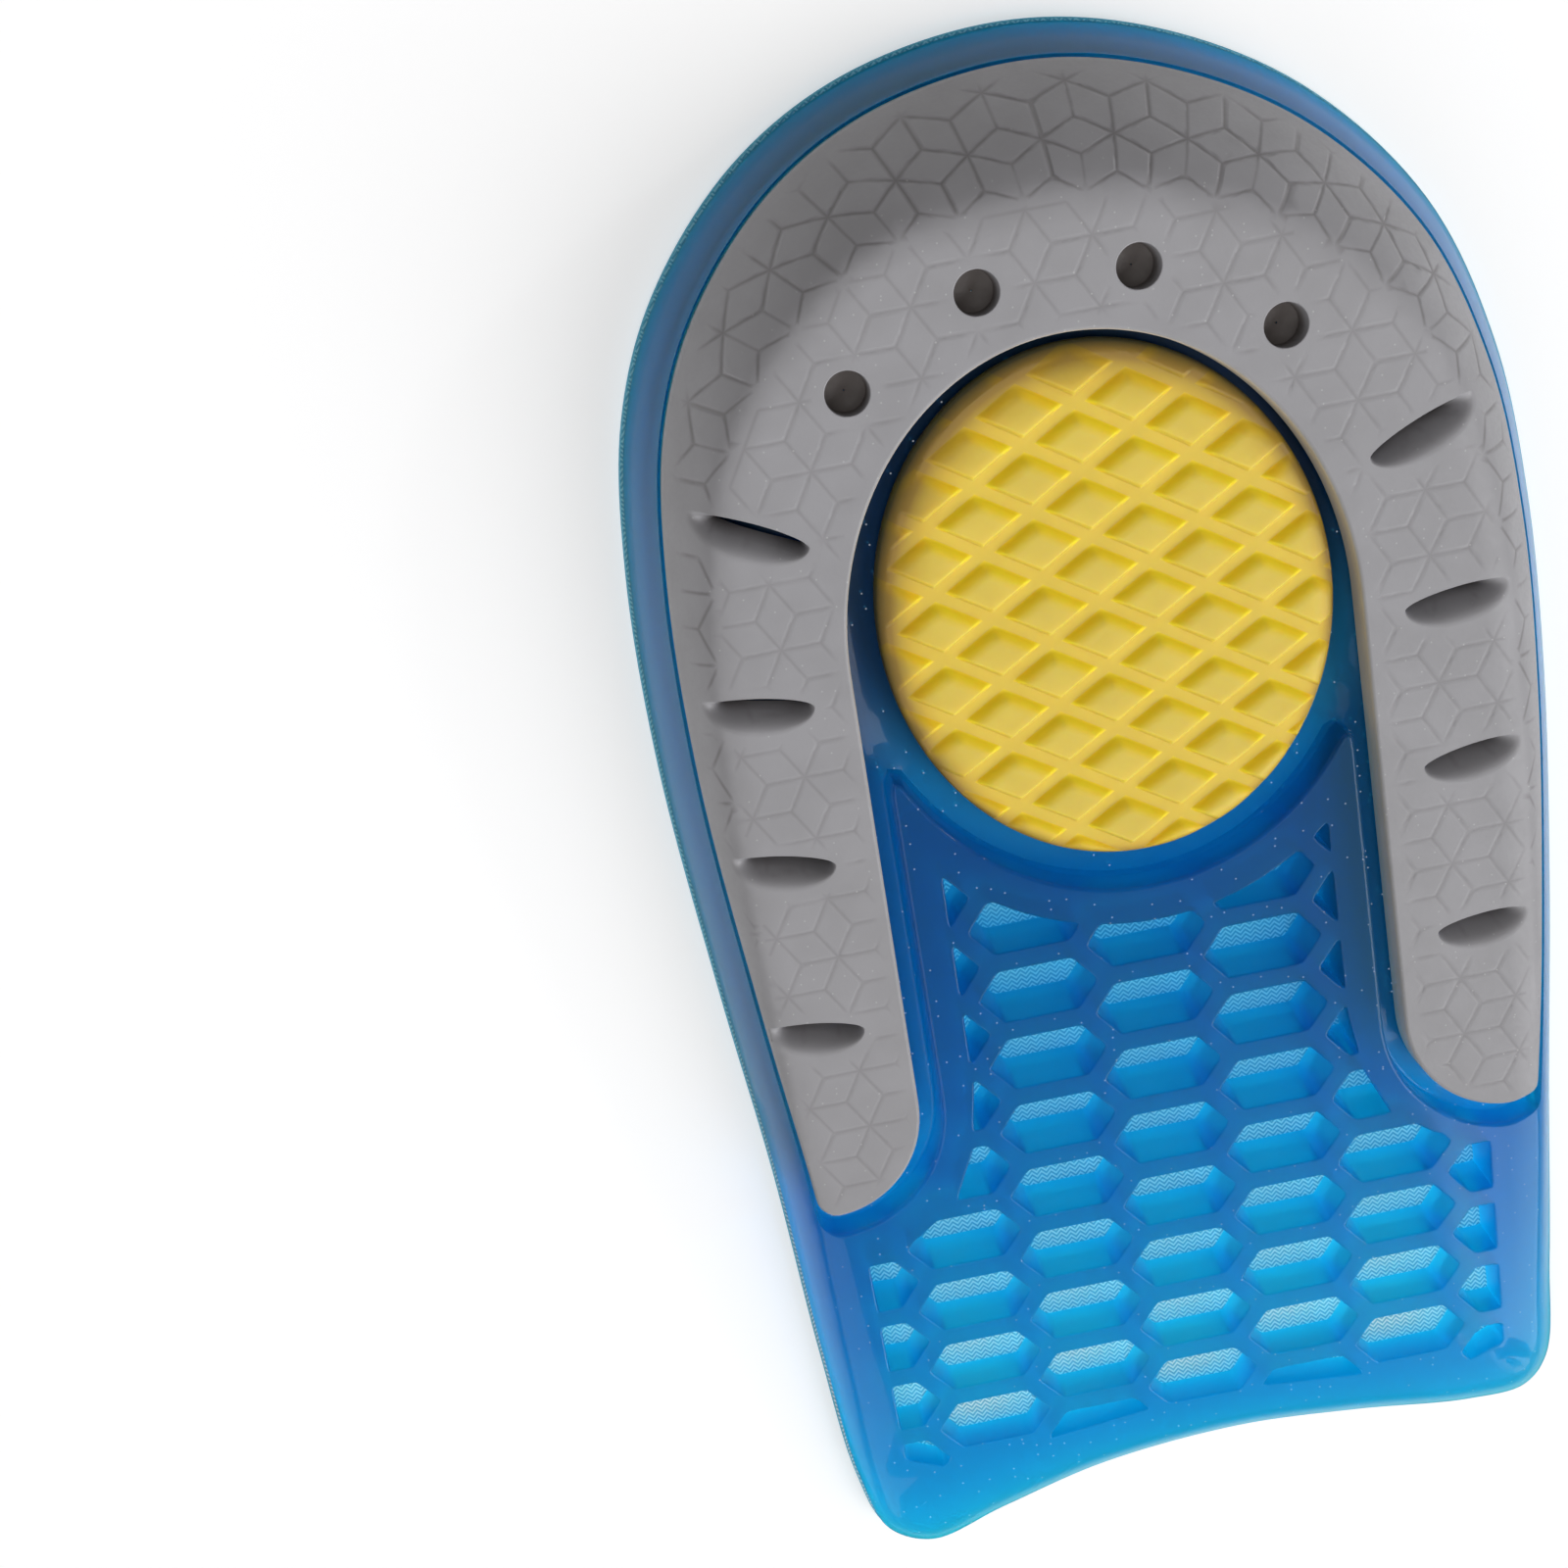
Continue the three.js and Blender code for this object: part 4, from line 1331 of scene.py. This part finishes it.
# %% Node helpers
def add(tree, kind, values=None, **settings):
    """A new node. Settings are the node's own, and values go to its inputs, by name or by number."""
    node = tree.nodes.new(kind)
    for key, value in settings.items():
        setattr(node, key, value)
    for key, value in (values or {}).items():
        node.inputs[key].default_value = value
    return node


def add_ramp(tree, stops):
    """A colour ramp from a table of place, red, green and blue."""
    ramp = add(tree, "ShaderNodeValToRGB")
    points = ramp.color_ramp.elements
    while len(points) < len(stops):
        points.new(0.5)
    for point, (place, *colour) in zip(points, stops):
        point.position = place
        point.color = (*colour, 1.0)
    return ramp


def new_material(name):
    """An empty material, its node tree and its output node."""
    material = bpy.data.materials.new(name)
    material.use_nodes = True
    tree = material.node_tree
    tree.nodes.clear()
    return material, tree, add(tree, "ShaderNodeOutputMaterial")


# %% [markdown]
# Rubber and gel pick up dust. It could be scattered as tiny meshes, but it has no thickness to speak of.
# So it is a mask, and because two finishes use it, the mask is a node group.

# %% Dust
SPECK_GRID = 1.0
SPECK_RADIUS = 0.075
SPECK_SHARE = 0.22
# Upward part of the normal where dust starts to lie, and where it lies fully.
DUST_FACING = (0.6, 0.9)


def dust_group():
    """Mask of small specks: a Voronoi pattern has one point per cell, and the points whose cell drew a high
    random number become specks. Only faces that look up are dusty."""
    group = bpy.data.node_groups.new("dust", "ShaderNodeTree")
    group.interface.new_socket("Mask", in_out="OUTPUT", socket_type="NodeSocketFloat")
    place = add(group, "ShaderNodeTexCoord")
    cells = add(group, "ShaderNodeTexVoronoi", {"Scale": 1 / (SPECK_GRID * MM)}, voronoi_dimensions="2D")
    radius = SPECK_RADIUS / SPECK_GRID
    near = add(group, "ShaderNodeMapRange", {1: radius, 2: radius / 2})
    draw = add(group, "ShaderNodeSeparateColor")
    chosen = add(group, "ShaderNodeMath", {1: 1 - SPECK_SHARE}, operation="GREATER_THAN")
    facing = add(group, "ShaderNodeNewGeometry")
    split = add(group, "ShaderNodeSeparateXYZ")
    upward = add(group, "ShaderNodeMapRange", {1: DUST_FACING[0], 2: DUST_FACING[1]})
    both = add(group, "ShaderNodeMath", operation="MULTIPLY")
    every = add(group, "ShaderNodeMath", operation="MULTIPLY")
    output = add(group, "NodeGroupOutput")
    group.links.new(place.outputs["Object"], cells.inputs["Vector"])
    group.links.new(cells.outputs["Distance"], near.inputs[0])
    group.links.new(cells.outputs["Color"], draw.inputs[0])
    group.links.new(draw.outputs[0], chosen.inputs[0])
    group.links.new(facing.outputs["Normal"], split.inputs[0])
    group.links.new(split.outputs["Z"], upward.inputs[0])
    group.links.new(near.outputs[0], both.inputs[0])
    group.links.new(chosen.outputs[0], both.inputs[1])
    group.links.new(both.outputs[0], every.inputs[0])
    group.links.new(upward.outputs[0], every.inputs[1])
    group.links.new(every.outputs[0], output.inputs["Mask"])
    return group


DUST = dust_group()
print("dust group:", len(DUST.nodes), "nodes")

# %% [markdown]
# No moulded or woven surface is quite even. Noise of a chosen size gives fine grain or, much larger,
# patches of another tone. So one group with a size as its input serves the rubber, the pad and the velour.

# %% Grain
NOISE_ENDS = (0.35, 0.65)


def grain_group():
    """Unevenness: noise whose grains have the given size in millimetres, stretched to run from 0 to 1."""
    group = bpy.data.node_groups.new("grain", "ShaderNodeTree")
    group.interface.new_socket("Size", in_out="INPUT", socket_type="NodeSocketFloat")
    group.interface.new_socket("Shade", in_out="OUTPUT", socket_type="NodeSocketFloat")
    entry = add(group, "NodeGroupInput")
    place = add(group, "ShaderNodeTexCoord")
    scale = add(group, "ShaderNodeMath", {0: 1 / MM}, operation="DIVIDE")
    noise = add(group, "ShaderNodeTexNoise", {"Detail": 2.0})
    spread = add(group, "ShaderNodeMapRange", {1: NOISE_ENDS[0], 2: NOISE_ENDS[1]})
    output = add(group, "NodeGroupOutput")
    group.links.new(entry.outputs["Size"], scale.inputs[1])
    group.links.new(scale.outputs[0], noise.inputs["Scale"])
    group.links.new(place.outputs["Object"], noise.inputs["Vector"])
    group.links.new(noise.outputs[0], spread.inputs[0])
    group.links.new(spread.outputs[0], output.inputs["Shade"])
    return group


GRAIN = grain_group()
print("grain group:", len(GRAIN.nodes), "nodes")

# %% [markdown]
# The gel is the hardest finish. A plain blue would look like painted plastic, so its surface refracts, its
# volume takes out red and then green, and a thin coat gives the wet gloss of a new casting. The base colour
# carries painted shade: it darkens by the number that was kept for thickness and for the moat.

# %% Gel finish
GEL_BASE = (0.03, 0.84, 0.97, 1.0)
GEL_PAINTED_SHADE = (0.02, 0.07, 0.24, 1.0)
GEL_TINT = (0.0, 0.65, 0.85, 1.0)
GEL_DENSITY = 650.0
GEL_SHADOW = (0.8, 0.95, 1.0, 1.0)
NO_DUST = (0.0, 0.0, 0.0, 1.0)
GEL_DUST_GLOW = (0.75, 0.8, 0.85, 1.0)


def gel_material():
    """Clear gel: a refracting surface, and a volume that takes out red first and then green. Shadow rays
    pass straight through the surface, so that light reaches the cloth below. Specks of dust glow faintly, a
    painted highlight in place of lit dust, because a clear surface has no colour of its own to change."""
    material, tree, output = new_material("gel")
    surface = add(tree, "ShaderNodeBsdfPrincipled", {
        "Roughness": 0.36, "IOR": 1.2, "Transmission Weight": 0.93,
        "Coat Weight": 0.3, "Coat Roughness": 0.06, "Coat IOR": 1.4, "Emission Strength": 0.35,
    })
    shade = add(tree, "ShaderNodeAttribute", attribute_name="shade")
    # Painted shade: the base colour darkens by the number kept for shade.
    colour = add(tree, "ShaderNodeMix", {6: GEL_BASE, 7: GEL_PAINTED_SHADE}, data_type="RGBA")
    tree.links.new(shade.outputs["Fac"], colour.inputs[0])
    tree.links.new(colour.outputs[2], surface.inputs["Base Color"])
    specks = add(tree, "ShaderNodeGroup", node_tree=DUST)
    # Painted highlight: dust specks on the gel get a faint glow of their own.
    lit = add(tree, "ShaderNodeMix", {6: NO_DUST, 7: GEL_DUST_GLOW}, data_type="RGBA")
    through = add(tree, "ShaderNodeBsdfTransparent", {"Color": GEL_SHADOW})
    path = add(tree, "ShaderNodeLightPath")
    mix = add(tree, "ShaderNodeMixShader")
    volume = add(tree, "ShaderNodeVolumeAbsorption", {"Color": GEL_TINT, "Density": GEL_DENSITY})
    tree.links.new(specks.outputs["Mask"], lit.inputs[0])
    tree.links.new(lit.outputs[2], surface.inputs["Emission Color"])
    tree.links.new(path.outputs["Is Shadow Ray"], mix.inputs[0])
    tree.links.new(surface.outputs[0], mix.inputs[1])
    tree.links.new(through.outputs[0], mix.inputs[2])
    tree.links.new(mix.outputs[0], output.inputs["Surface"])
    tree.links.new(volume.outputs[0], output.inputs["Volume"])
    return material


gel.data.materials.append(gel_material())
print("finish of the gel:", gel.data.materials[0].name)

# %% [markdown]
# The horseshoe is dull grey rubber. One flat colour would do for the rubber, but in the photograph its
# grooves are darker and its openings brown. So the colour is built up in layers over the numbers kept with
# the points: tiles, painted shade in the grooves, a painted cream reflection of the pad on the inner edge,
# patches of another tone, dust, and painted shade down the openings.

# %% Grey rubber
GREY_TILE = (0.33, 0.325, 0.34, 1.0)
GREY_GROOVE_SHADE = (0.2, 0.191, 0.196, 1.0)
GREY_OPENING_SHADE = (0.15, 0.13, 0.12, 1.0)
GREY_PAD_REFLECTION = (0.66, 0.60, 0.50, 1.0)
GREY_MOTTLE = (0.93, 0.93, 0.925, 1.0)
GREY_DUST = (0.6, 0.6, 0.6, 1.0)
GREY_DUST_SHARE = 0.4
GREY_GRAIN = 0.35
GREY_PATCHES = 4.0
GREY_ROUGHNESS = (0.46, 0.56)
OPENING_DEPTH = (0.05, 1.0)
GRAIN_HEIGHT = 0.02


def grey_material():
    """Grey rubber with painted shade: darker in the grooves and brown down in the holes and slots. The edge
    towards the pad is cream, a painted reflection of the pad. Wide patches are a little darker, and fine
    grain makes it dull."""
    material, tree, output = new_material("grey rubber")
    groove = add(tree, "ShaderNodeAttribute", attribute_name="groove")
    edge = add(tree, "ShaderNodeAttribute", attribute_name="edge")
    deep = add(tree, "ShaderNodeAttribute", attribute_name="deep")
    patches = add(tree, "ShaderNodeGroup", {"Size": GREY_PATCHES}, node_tree=GRAIN)
    grain = add(tree, "ShaderNodeGroup", {"Size": GREY_GRAIN}, node_tree=GRAIN)
    specks = add(tree, "ShaderNodeGroup", node_tree=DUST)
    # Painted shade: the grooves are darker than the tiles.
    lined = add(tree, "ShaderNodeMix", {6: GREY_TILE, 7: GREY_GROOVE_SHADE}, data_type="RGBA")
    # Painted reflection: the inner edge turns cream, as if lit by the pad.
    edged = add(tree, "ShaderNodeMix", {7: GREY_PAD_REFLECTION}, data_type="RGBA")
    # Painted shade: darker and browner down in the holes and slots.
    ends = {1: OPENING_DEPTH[0], 2: OPENING_DEPTH[1]}
    down = add(tree, "ShaderNodeMapRange", ends, interpolation_type="SMOOTHSTEP")
    sunk = add(tree, "ShaderNodeMix", {7: GREY_OPENING_SHADE}, data_type="RGBA")
    mottled = add(tree, "ShaderNodeMix", {7: GREY_MOTTLE}, data_type="RGBA", blend_type="MULTIPLY")
    share = add(tree, "ShaderNodeMath", {1: GREY_DUST_SHARE}, operation="MULTIPLY")
    dusty = add(tree, "ShaderNodeMix", {7: GREY_DUST}, data_type="RGBA")
    dull = add(tree, "ShaderNodeMapRange", {3: GREY_ROUGHNESS[0], 4: GREY_ROUGHNESS[1]})
    bump = add(tree, "ShaderNodeBump", {"Strength": 0.15, "Distance": GRAIN_HEIGHT * MM})
    surface = add(tree, "ShaderNodeBsdfPrincipled")
    tree.links.new(groove.outputs["Fac"], lined.inputs[0])
    tree.links.new(edge.outputs["Fac"], edged.inputs[0])
    tree.links.new(lined.outputs[2], edged.inputs[6])
    tree.links.new(patches.outputs["Shade"], mottled.inputs[0])
    tree.links.new(edged.outputs[2], mottled.inputs[6])
    tree.links.new(specks.outputs["Mask"], share.inputs[0])
    tree.links.new(share.outputs[0], dusty.inputs[0])
    tree.links.new(mottled.outputs[2], dusty.inputs[6])
    tree.links.new(deep.outputs["Fac"], down.inputs[0])
    tree.links.new(down.outputs[0], sunk.inputs[0])
    tree.links.new(dusty.outputs[2], sunk.inputs[6])
    tree.links.new(sunk.outputs[2], surface.inputs["Base Color"])
    tree.links.new(grain.outputs["Shade"], dull.inputs[0])
    tree.links.new(dull.outputs[0], surface.inputs["Roughness"])
    tree.links.new(grain.outputs["Shade"], bump.inputs["Height"])
    tree.links.new(bump.outputs[0], surface.inputs["Normal"])
    tree.links.new(surface.outputs[0], output.inputs["Surface"])
    return material


horseshoe.data.materials.append(grey_material())
print("finish of the horseshoe:", horseshoe.data.materials[0].name)

# %% [markdown]
# The pad is soft yellow rubber that light enters. Subsurface scattering gives that, but the amber of its
# walls and the brown of its deep edge are stronger in the photograph than scattering alone makes them. So
# the numbers kept with the points add painted shade: amber on the walls that face the heel and brown on
# the deep edge.

# %% Yellow rubber
PAD_TOP = (0.79, 0.61, 0.08, 1.0)
PAD_BOTTOM_COLOUR = (0.82, 0.61, 0.07, 1.0)
PAD_SHADED_WALL = (1.0, 0.75, 0.02, 1.0)
PAD_MOTTLE = (0.96, 0.955, 0.93, 1.0)
PAD_PATCHES = 2.5
PAD_GRAIN = 0.3
PAD_ROUGHNESS = (0.5, 0.6)
# Painted shade on the round edge. Columns: share of the round edge's fall, red, green, blue. They are
# multiplied with the colour above.
PAD_EDGE_SHADE = (
    (0.0, 1.0, 1.0, 1.0),
    (0.08, 0.9, 0.84, 0.7),
    (0.3, 0.42, 0.34, 0.3),
    (0.7, 0.05, 0.06, 0.12),
)


def yellow_material():
    """Soft yellow rubber: light wanders about a millimetre inside it, and the walls of the diamonds that turn
    away from the light get a painted amber shade. Its round edge goes down beside the horseshoe, and painted
    shade turns it brown there."""
    material, tree, output = new_material("yellow rubber")
    groove = add(tree, "ShaderNodeAttribute", attribute_name="groove")
    amber = add(tree, "ShaderNodeAttribute", attribute_name="amber")
    edge = add(tree, "ShaderNodeAttribute", attribute_name="edge")
    patches = add(tree, "ShaderNodeGroup", {"Size": PAD_PATCHES}, node_tree=GRAIN)
    grain = add(tree, "ShaderNodeGroup", {"Size": PAD_GRAIN}, node_tree=GRAIN)
    top = add(tree, "ShaderNodeMix", {6: PAD_TOP, 7: PAD_BOTTOM_COLOUR}, data_type="RGBA")
    # Painted shade: amber on the walls that face away from the light.
    walls = add(tree, "ShaderNodeMix", {7: PAD_SHADED_WALL}, data_type="RGBA")
    # Painted shade: the round edge darkens towards brown as it falls.
    fall = add_ramp(tree, PAD_EDGE_SHADE)
    fallen = add(tree, "ShaderNodeMix", {0: 1.0}, data_type="RGBA", blend_type="MULTIPLY")
    mottled = add(tree, "ShaderNodeMix", {7: PAD_MOTTLE}, data_type="RGBA", blend_type="MULTIPLY")
    dull = add(tree, "ShaderNodeMapRange", {3: PAD_ROUGHNESS[0], 4: PAD_ROUGHNESS[1]})
    bump = add(tree, "ShaderNodeBump", {"Strength": 0.12, "Distance": GRAIN_HEIGHT * MM})
    surface = add(tree, "ShaderNodeBsdfPrincipled", {
        "Subsurface Weight": 0.7, "Subsurface Radius": (1.0, 0.75, 0.15), "Subsurface Scale": 0.001,
    })
    tree.links.new(groove.outputs["Fac"], top.inputs[0])
    tree.links.new(amber.outputs["Fac"], walls.inputs[0])
    tree.links.new(top.outputs[2], walls.inputs[6])
    tree.links.new(edge.outputs["Fac"], fall.inputs[0])
    tree.links.new(walls.outputs[2], fallen.inputs[6])
    tree.links.new(fall.outputs[0], fallen.inputs[7])
    tree.links.new(patches.outputs["Shade"], mottled.inputs[0])
    tree.links.new(fallen.outputs[2], mottled.inputs[6])
    tree.links.new(mottled.outputs[2], surface.inputs["Base Color"])
    tree.links.new(grain.outputs["Shade"], dull.inputs[0])
    tree.links.new(dull.outputs[0], surface.inputs["Roughness"])
    tree.links.new(grain.outputs["Shade"], bump.inputs["Height"])
    tree.links.new(bump.outputs[0], surface.inputs["Normal"])
    tree.links.new(surface.outputs[0], output.inputs["Surface"])
    return material


pad.data.materials.append(yellow_material())
print("finish of the pad:", pad.data.materials[0].name)

# %% [markdown]
# The velour's pile is far too fine to model: its tufts are a fifth of a millimetre. Grain in colour and bump
# gives the tufts, large patches show where the pile was brushed, and sheen lights the rim of the cup.

# %% Velour
VELOUR_GRAIN = 0.22
VELOUR_BRUSHING = 9.0
VELOUR_LOW = (0.05, 0.34, 0.52, 1.0)
VELOUR_HIGH = (0.10, 0.47, 0.66, 1.0)
VELOUR_PALE = (0.13, 0.50, 0.68, 1.0)
BRUSHED_SHARE = 0.4
TUFT_HEIGHT = 0.1


def velour_material():
    """Short pile: a fine grain of lighter and darker tufts, wide patches brushed to and fro, and a sheen that
    lights up where the pile is seen from the side."""
    material, tree, output = new_material("velour")
    tufts = add(tree, "ShaderNodeGroup", {"Size": VELOUR_GRAIN}, node_tree=GRAIN)
    patches = add(tree, "ShaderNodeGroup", {"Size": VELOUR_BRUSHING}, node_tree=GRAIN)
    brushed = add(tree, "ShaderNodeMath", {1: BRUSHED_SHARE}, operation="MULTIPLY")
    colour = add(tree, "ShaderNodeMix", {6: VELOUR_LOW, 7: VELOUR_HIGH}, data_type="RGBA")
    paler = add(tree, "ShaderNodeMix", {7: VELOUR_PALE}, data_type="RGBA")
    bump = add(tree, "ShaderNodeBump", {"Strength": 0.35, "Distance": TUFT_HEIGHT * MM})
    surface = add(tree, "ShaderNodeBsdfPrincipled", {
        "Roughness": 0.9, "Specular IOR Level": 0.2, "Sheen Weight": 0.35, "Sheen Roughness": 0.5,
        "Sheen Tint": (0.6, 0.9, 1.0, 1.0),
    })
    tree.links.new(patches.outputs["Shade"], brushed.inputs[0])
    tree.links.new(tufts.outputs["Shade"], colour.inputs[0])
    tree.links.new(brushed.outputs[0], paler.inputs[0])
    tree.links.new(colour.outputs[2], paler.inputs[6])
    tree.links.new(tufts.outputs["Shade"], bump.inputs["Height"])
    tree.links.new(paler.outputs[2], surface.inputs["Base Color"])
    tree.links.new(bump.outputs[0], surface.inputs["Normal"])
    tree.links.new(surface.outputs[0], output.inputs["Surface"])
    return material


cloth.data.materials.append(velour_material())
print("finish of the cloth's pile:", cloth.data.materials[0].name)

# %% [markdown]
# The back of the cloth is a fine zigzag weave, seen at the bottom of the pockets. Threads of a third of a
# millimetre are a pattern, not geometry: a sine wave along the length, its phase pushed to and fro.

# %% Woven back
WEAVE_PITCH = 0.36
WEAVE_ZIGZAG = 0.72
WEAVE_ENDS = (-0.6, 0.8)
WEAVE_DARK = (0.25, 0.52, 0.60, 1.0)
WEAVE_LIGHT = (0.97, 0.96, 0.88, 1.0)
# Painted shade: the woven back darkens towards the heel, where the pockets are deep.
DEEP_POCKETS_Y = (-42.0, -8.0)
DEEP_POCKETS_SHADE = (0.3, 0.68, 0.85, 1.0)


def woven_material():
    """Zigzag weave: stripes across the length, pushed to and fro by a zigzag that runs across the width.
    Towards the heel the pockets are deep, and painted shade makes the cloth in them dim."""
    material, tree, output = new_material("woven back")
    place = add(tree, "ShaderNodeTexCoord")
    split = add(tree, "ShaderNodeSeparateXYZ")
    across = add(tree, "ShaderNodeMath", {1: 1 / MM}, operation="MULTIPLY")
    zigzag = add(tree, "ShaderNodeMath", {1: WEAVE_ZIGZAG / 2}, operation="PINGPONG")
    along = add(tree, "ShaderNodeMath", {1: 1 / MM}, operation="MULTIPLY")
    shifted = add(tree, "ShaderNodeMath", operation="ADD")
    phase = add(tree, "ShaderNodeMath", {1: 2 * np.pi / WEAVE_PITCH}, operation="MULTIPLY")
    wave = add(tree, "ShaderNodeMath", operation="SINE")
    mask = add(tree, "ShaderNodeMapRange", {1: WEAVE_ENDS[0], 2: WEAVE_ENDS[1]})
    mix = add(tree, "ShaderNodeMix", {6: WEAVE_DARK, 7: WEAVE_LIGHT}, data_type="RGBA")
    reach = add(tree, "ShaderNodeMapRange", {1: DEEP_POCKETS_Y[0] * MM, 2: DEEP_POCKETS_Y[1] * MM})
    dim = add(tree, "ShaderNodeMix", {7: DEEP_POCKETS_SHADE}, data_type="RGBA", blend_type="MULTIPLY")
    surface = add(tree, "ShaderNodeBsdfPrincipled", {"Roughness": 0.8})
    tree.links.new(place.outputs["Object"], split.inputs[0])
    tree.links.new(split.outputs["X"], across.inputs[0])
    tree.links.new(across.outputs[0], zigzag.inputs[0])
    tree.links.new(split.outputs["Y"], along.inputs[0])
    tree.links.new(along.outputs[0], shifted.inputs[0])
    tree.links.new(zigzag.outputs[0], shifted.inputs[1])
    tree.links.new(shifted.outputs[0], phase.inputs[0])
    tree.links.new(phase.outputs[0], wave.inputs[0])
    tree.links.new(wave.outputs[0], mask.inputs[0])
    tree.links.new(mask.outputs[0], mix.inputs[0])
    tree.links.new(split.outputs["Y"], reach.inputs[0])
    tree.links.new(reach.outputs[0], dim.inputs[0])
    tree.links.new(mix.outputs[2], dim.inputs[6])
    tree.links.new(dim.outputs[2], surface.inputs["Base Color"])
    tree.links.new(surface.outputs[0], output.inputs["Surface"])
    return material


cloth.data.materials.append(woven_material())
print("finish of the cloth's back:", cloth.data.materials[1].name)

# %% [markdown]
# ## Floor and light
#
# The photograph shows a white sweep with soft light from the front and overhead. Area lights close by would
# light the near end more than the far one, so three wide suns do it: two from the front sides and a weak one
# overhead. A small lamp adds a glint on the right wall. The floor shines faintly by itself, which keeps it
# white without more light on the part.

# %% Floor
FLOOR_HALF_SIDE = 2.0
FLOOR_Z = -0.0002
FLOOR_COLOUR = (0.62, 0.62, 0.62, 1.0)
FLOOR_ROUGHNESS = 0.9
FLOOR_GLOW = 0.5
WHITE = (1.0, 1.0, 1.0, 1.0)


def sweep_material():
    """Plain dull white that also gives off a little light."""
    material, tree, output = new_material("white sweep")
    surface = add(tree, "ShaderNodeBsdfPrincipled", {
        "Base Color": FLOOR_COLOUR, "Roughness": FLOOR_ROUGHNESS,
        "Emission Color": WHITE, "Emission Strength": FLOOR_GLOW,
    })
    tree.links.new(surface.outputs[0], output.inputs["Surface"])
    return material


def make_floor():
    """A large square just under the part."""
    mesh = bpy.data.meshes.new("floor")
    signs = ((-1, -1), (1, -1), (1, 1), (-1, 1))
    corners = [(x * FLOOR_HALF_SIDE, y * FLOOR_HALF_SIDE, FLOOR_Z) for x, y in signs]
    mesh.from_pydata(corners, [], [(0, 1, 2, 3)])
    floor = bpy.data.objects.new("floor", mesh)
    bpy.context.scene.collection.objects.link(floor)
    mesh.materials.append(sweep_material())
    floor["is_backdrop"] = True


make_floor()
print(f"floor: {2 * FLOOR_HALF_SIDE:.0f} m square")

# %% [markdown]
# A sun's place only gives its direction, and its size is the angle that it fills in the sky: the wider, the
# softer its shadows. The world adds a faint even light.

# %% Lights
# Columns: kind, name, place, size, power, colour.
LIGHTS = (
    ("SUN", "key", (0.60, -0.55, 0.58), 45.0, 2.2, (0.98, 0.985, 1.0)),
    ("SUN", "fill", (-0.45, -0.62, 0.64), 45.0, 0.85, (1.0, 1.0, 1.0)),
    ("SUN", "overhead", (-0.12, 0.02, 1.0), 40.0, 0.4, (1.0, 1.0, 1.0)),
    ("AREA", "kicker", (0.37, 0.07, 0.24), 0.03, 0.1, (1.0, 1.0, 1.0)),
)
WORLD_COLOUR = (1.0, 0.95, 0.93, 1.0)
WORLD_STRENGTH = 0.1


def make_light(kind, name, place, size, power, colour):
    """A light that faces the origin. A sun's size is an angle in degrees, an area light's is in metres."""
    data = bpy.data.lights.new(name, kind)
    if kind == "SUN":
        data.angle = np.radians(size)
    else:
        data.size = size
    data.energy = power
    data.color = colour
    light = bpy.data.objects.new(name, data)
    turn = Vector(place).to_track_quat("Z", "Y").to_matrix().to_4x4()
    light.matrix_world = Matrix.Translation(place) @ turn
    bpy.context.scene.collection.objects.link(light)


def make_world():
    """A faint even light from all round, which the camera sees as the white of the sweep."""
    world = bpy.data.worlds.new("world")
    world.use_nodes = True
    tree = world.node_tree
    tree.nodes.clear()
    output = add(tree, "ShaderNodeOutputWorld")
    light = add(tree, "ShaderNodeBackground", {"Color": WORLD_COLOUR, "Strength": WORLD_STRENGTH})
    seen = add(tree, "ShaderNodeBackground", {"Color": WHITE, "Strength": 1.0})
    path = add(tree, "ShaderNodeLightPath")
    mix = add(tree, "ShaderNodeMixShader")
    tree.links.new(path.outputs["Is Camera Ray"], mix.inputs[0])
    tree.links.new(light.outputs[0], mix.inputs[1])
    tree.links.new(seen.outputs[0], mix.inputs[2])
    tree.links.new(mix.outputs[0], output.inputs["Surface"])
    bpy.context.scene.world = world


for row in LIGHTS:
    make_light(*row)
make_world()
bpy.context.scene.view_settings.view_transform = "Standard"
print("lights:", ", ".join(row[1] for row in LIGHTS))

# %% [markdown]
# ## Finish
#
# The box of the whole part is printed next to the imported model's, because dressing a part must not change
# its size.

# %% Finish
visual_box = [[float(v) for v in corner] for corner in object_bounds()]
for title, box in (("packed", cad_box), ("visual", visual_box)):
    print(title, "box in mm:", np.round(np.array(box) / MM, 2).tolist())
